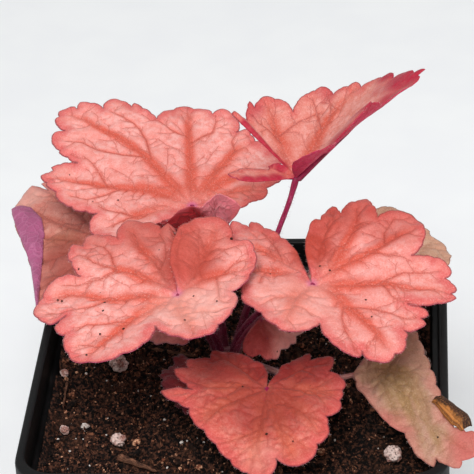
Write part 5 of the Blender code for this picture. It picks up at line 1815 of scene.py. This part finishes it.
def make_fibres(half, rng):
    """Fine fibres that lie on the bed."""
    fibres = Bundle()
    parts = 8
    for _ in range(FIBRES):
        x, y = rng.uniform(-half + 2.0, half - 2.0, 2)
        turn = rng.uniform(0, 2 * math.pi)
        length = rng.uniform(*FIBRE_LENGTHS)
        bend = rng.uniform(-FIBRE_BEND, FIBRE_BEND)
        radius = rng.uniform(*FIBRE_RADII)
        points = []
        for step in range(parts + 1):
            height = bed_height(x, y) + radius + 0.1 + 0.25 * math.sin(step * 0.8)
            points.append((x, y, height))
            x += math.cos(turn) * length / parts
            y += math.sin(turn) * length / parts
            turn += bend * 2.0
        if max(abs(v) for p in points for v in p[:2]) > half - 0.8:
            continue
        radii = [radius * (1.0 - 0.6 * k / parts) for k in range(parts + 1)]
        cloud, faces, wrap = tube(points, radii, FIBRE_SIDES)
        fibres.add(cloud, faces, flat=wrap)
    fibres = fibres.mesh("soil_fibres", [earth_look("fibre", (70, 38, 26), (170, 114, 82))])
    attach(fibres, "root")


def make_soil():
    """The bed with its crumbs and fibres."""
    rng = np.random.default_rng(SOIL_SEED)
    half = pot_half_width(SOIL_LEVEL) - POT_WALL - SOIL_GAP
    make_bed(half)
    make_crumbs(half, rng)
    make_fibres(half, rng)


def make_grains():
    """Knobbly, pitted grains of perlite, cut flat where they lie."""
    look = grain_look()
    for number, (x, y, radius) in enumerate(GRAINS, start=1):
        sphere, faces = ball(5, radius)
        points = []
        for raw in sphere:
            swell = 1.0 + 0.30 * noise.noise(raw * 1.1 / radius + Vector((number * 7.0, 0.0, 0.0)))
            swell -= 0.3 * abs(noise.noise(raw * 1.9 / radius + Vector((3.0, number * 5.0, 0.0))))
            pit = max(0.0, noise.noise(raw * 4.2 / radius)) ** 1.2
            swell += 0.09 * noise.noise(raw * 3.4 / radius) - 0.3 * pit
            swell += GRAIN_SWELL
            point = raw * swell + Vector((x, y, SOIL_LEVEL + REST_GAP + 0.55 * radius))
            point.z = max(point.z, SOIL_LEVEL + 0.1)
            points.append(tuple(point))
        grain = add_mesh("perlite_grain_%d" % number, points, faces, [look])
        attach(grain, "root")
        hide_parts("perlite_%d" % number)


def make_twigs():
    """Bent, knotty twigs, flattened a little."""
    look = wood_look()
    for number, (x0, y0, x1, y1, radius) in enumerate(TWIGS, start=1):
        points, radii = [], []
        for i in range(TWIG_POINTS):
            t = i / (TWIG_POINTS - 1)
            sway = 0.9 if number == CROOKED_TWIG else 0.25
            sway *= noise.noise(Vector((t * 3.0, number * 5.0, 0.0)))
            sway += 0.12 * noise.noise(Vector((t * 14.0, number, 3.0)))
            run = Vector((x1 - x0, y1 - y0, 0.0))
            side = Vector((-run.y, run.x, 0.0)).normalized()
            points.append(Vector((x0, y0, SOIL_LEVEL + REST_GAP + radius)) + run * t + side * sway)
            knot = 1.0 + 0.16 * noise.noise(Vector((t * 9.0, number * 2.0, 8.0)))
            end = min(1.0, 8.0 * min(t, 1.0 - t) + 0.35)
            stout = 1.45 - 0.7 * t if number == CROOKED_TWIG else 1.0
            radii.append(radius * (1.0 - 0.35 * t) * knot * end * stout)
        twig = Bundle()
        cloud, faces, wrap = tube(points, radii, TWIG_SIDES, TWIG_SQUASH)
        twig.add(cloud, faces, flat=wrap)
        stick = twig.mesh("dry_twig_%d" % number, [look])
        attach(stick, "root")
        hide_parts("twig_%d" % number)


# ---------------------------------------------------------------- stage

def make_stage():
    """A pale floor and soft lights."""
    look = Look("studio_floor")
    look.colour = look.mix(look.ramp(look.noise(look.place(), 30.0, 2.0), 0.3, 0.7),
                           rgb(243, 245, 247), rgb(246, 248, 249))
    look.finish(roughness=0.9)
    bm = bmesh.new()
    bmesh.ops.create_grid(bm, x_segments=8, y_segments=8, size=FLOOR_HALF)
    floor = add_mesh("studio_ground", [tuple(v.co) for v in bm.verts],
                     [tuple(v.index for v in f.verts) for f in bm.faces], [look.material])
    bm.free()
    floor.location.z = -FLOOR_GAP
    world = bpy.data.worlds.new("studio")
    bpy.context.scene.world = world
    world.use_nodes = True
    sky = world.node_tree.nodes["Background"].inputs
    sky["Color"].default_value = (1.0, 1.0, 1.0, 1.0)
    sky["Strength"].default_value = SKY_STRENGTH
    for name, place, size, power in LIGHTS:
        lamp = bpy.data.lights.new(name, "AREA")
        lamp.size = size
        lamp.energy = power
        obj = bpy.data.objects.new(name, lamp)
        obj.location = place
        obj.rotation_euler = (Vector(LIGHT_AIM) - Vector(place)).to_track_quat("-Z", "Y").to_euler()
        bpy.context.scene.collection.objects.link(obj)


def make_camera():
    """The photograph's camera."""
    yaw, rise, roll = (math.radians(a) for a in (CAMERA_YAW, CAMERA_ELEVATION, CAMERA_ROLL))
    back = Vector((math.sin(yaw) * math.cos(rise), -math.cos(yaw) * math.cos(rise), math.sin(rise)))
    right = (-back).cross(Vector((0.0, 0.0, 1.0))).normalized()
    up = right.cross(-back)
    across = right * math.cos(roll) + up * math.sin(roll)
    over = -right * math.sin(roll) + up * math.cos(roll)
    data = bpy.data.cameras.new("photo_camera")
    data.sensor_width = SENSOR
    data.lens = FOCAL_PIXELS / FRAME_PIXELS * SENSOR
    camera = bpy.data.objects.new("photo_camera", data)
    place = (Vector(CAMERA_AIM) + back * CAMERA_DISTANCE) * MM
    turned = Matrix((across, over, back)).transposed().to_4x4()
    camera.matrix_world = Matrix.Translation(place) @ turned
    bpy.context.scene.collection.objects.link(camera)
    bpy.context.scene.camera = camera


LOOKS = {}
speck = earth_look("fallen_crumb", (24, 14, 12), (70, 44, 34))
flake = flake_look()
for style, row in BLADE_LOOKS.items():
    tints = dict(zip(TINTS, row))
    LOOKS[style] = [blade_top("top_" + style, tints), blade_underside("underside_" + style, tints),
                    hair_look("hairs_" + style, (232, 160, 158), (250, 222, 216)), speck, flake]
LOOKS["stalk"] = [stalk_look(), hair_look("hairs_stalk", (180, 90, 120), (226, 170, 190))]

bpy.context.scene.view_settings.view_transform = "Standard"
make_camera()
make_stage()
make_pot()
make_soil()
make_stalks()
for index, (leaf_name, leaf_row) in enumerate(LEAVES.items()):
    leaf_row["slot"] = SLOTS[leaf_row["look"]]
    make_blade(leaf_name, leaf_row, index)
make_grains()
make_twigs()
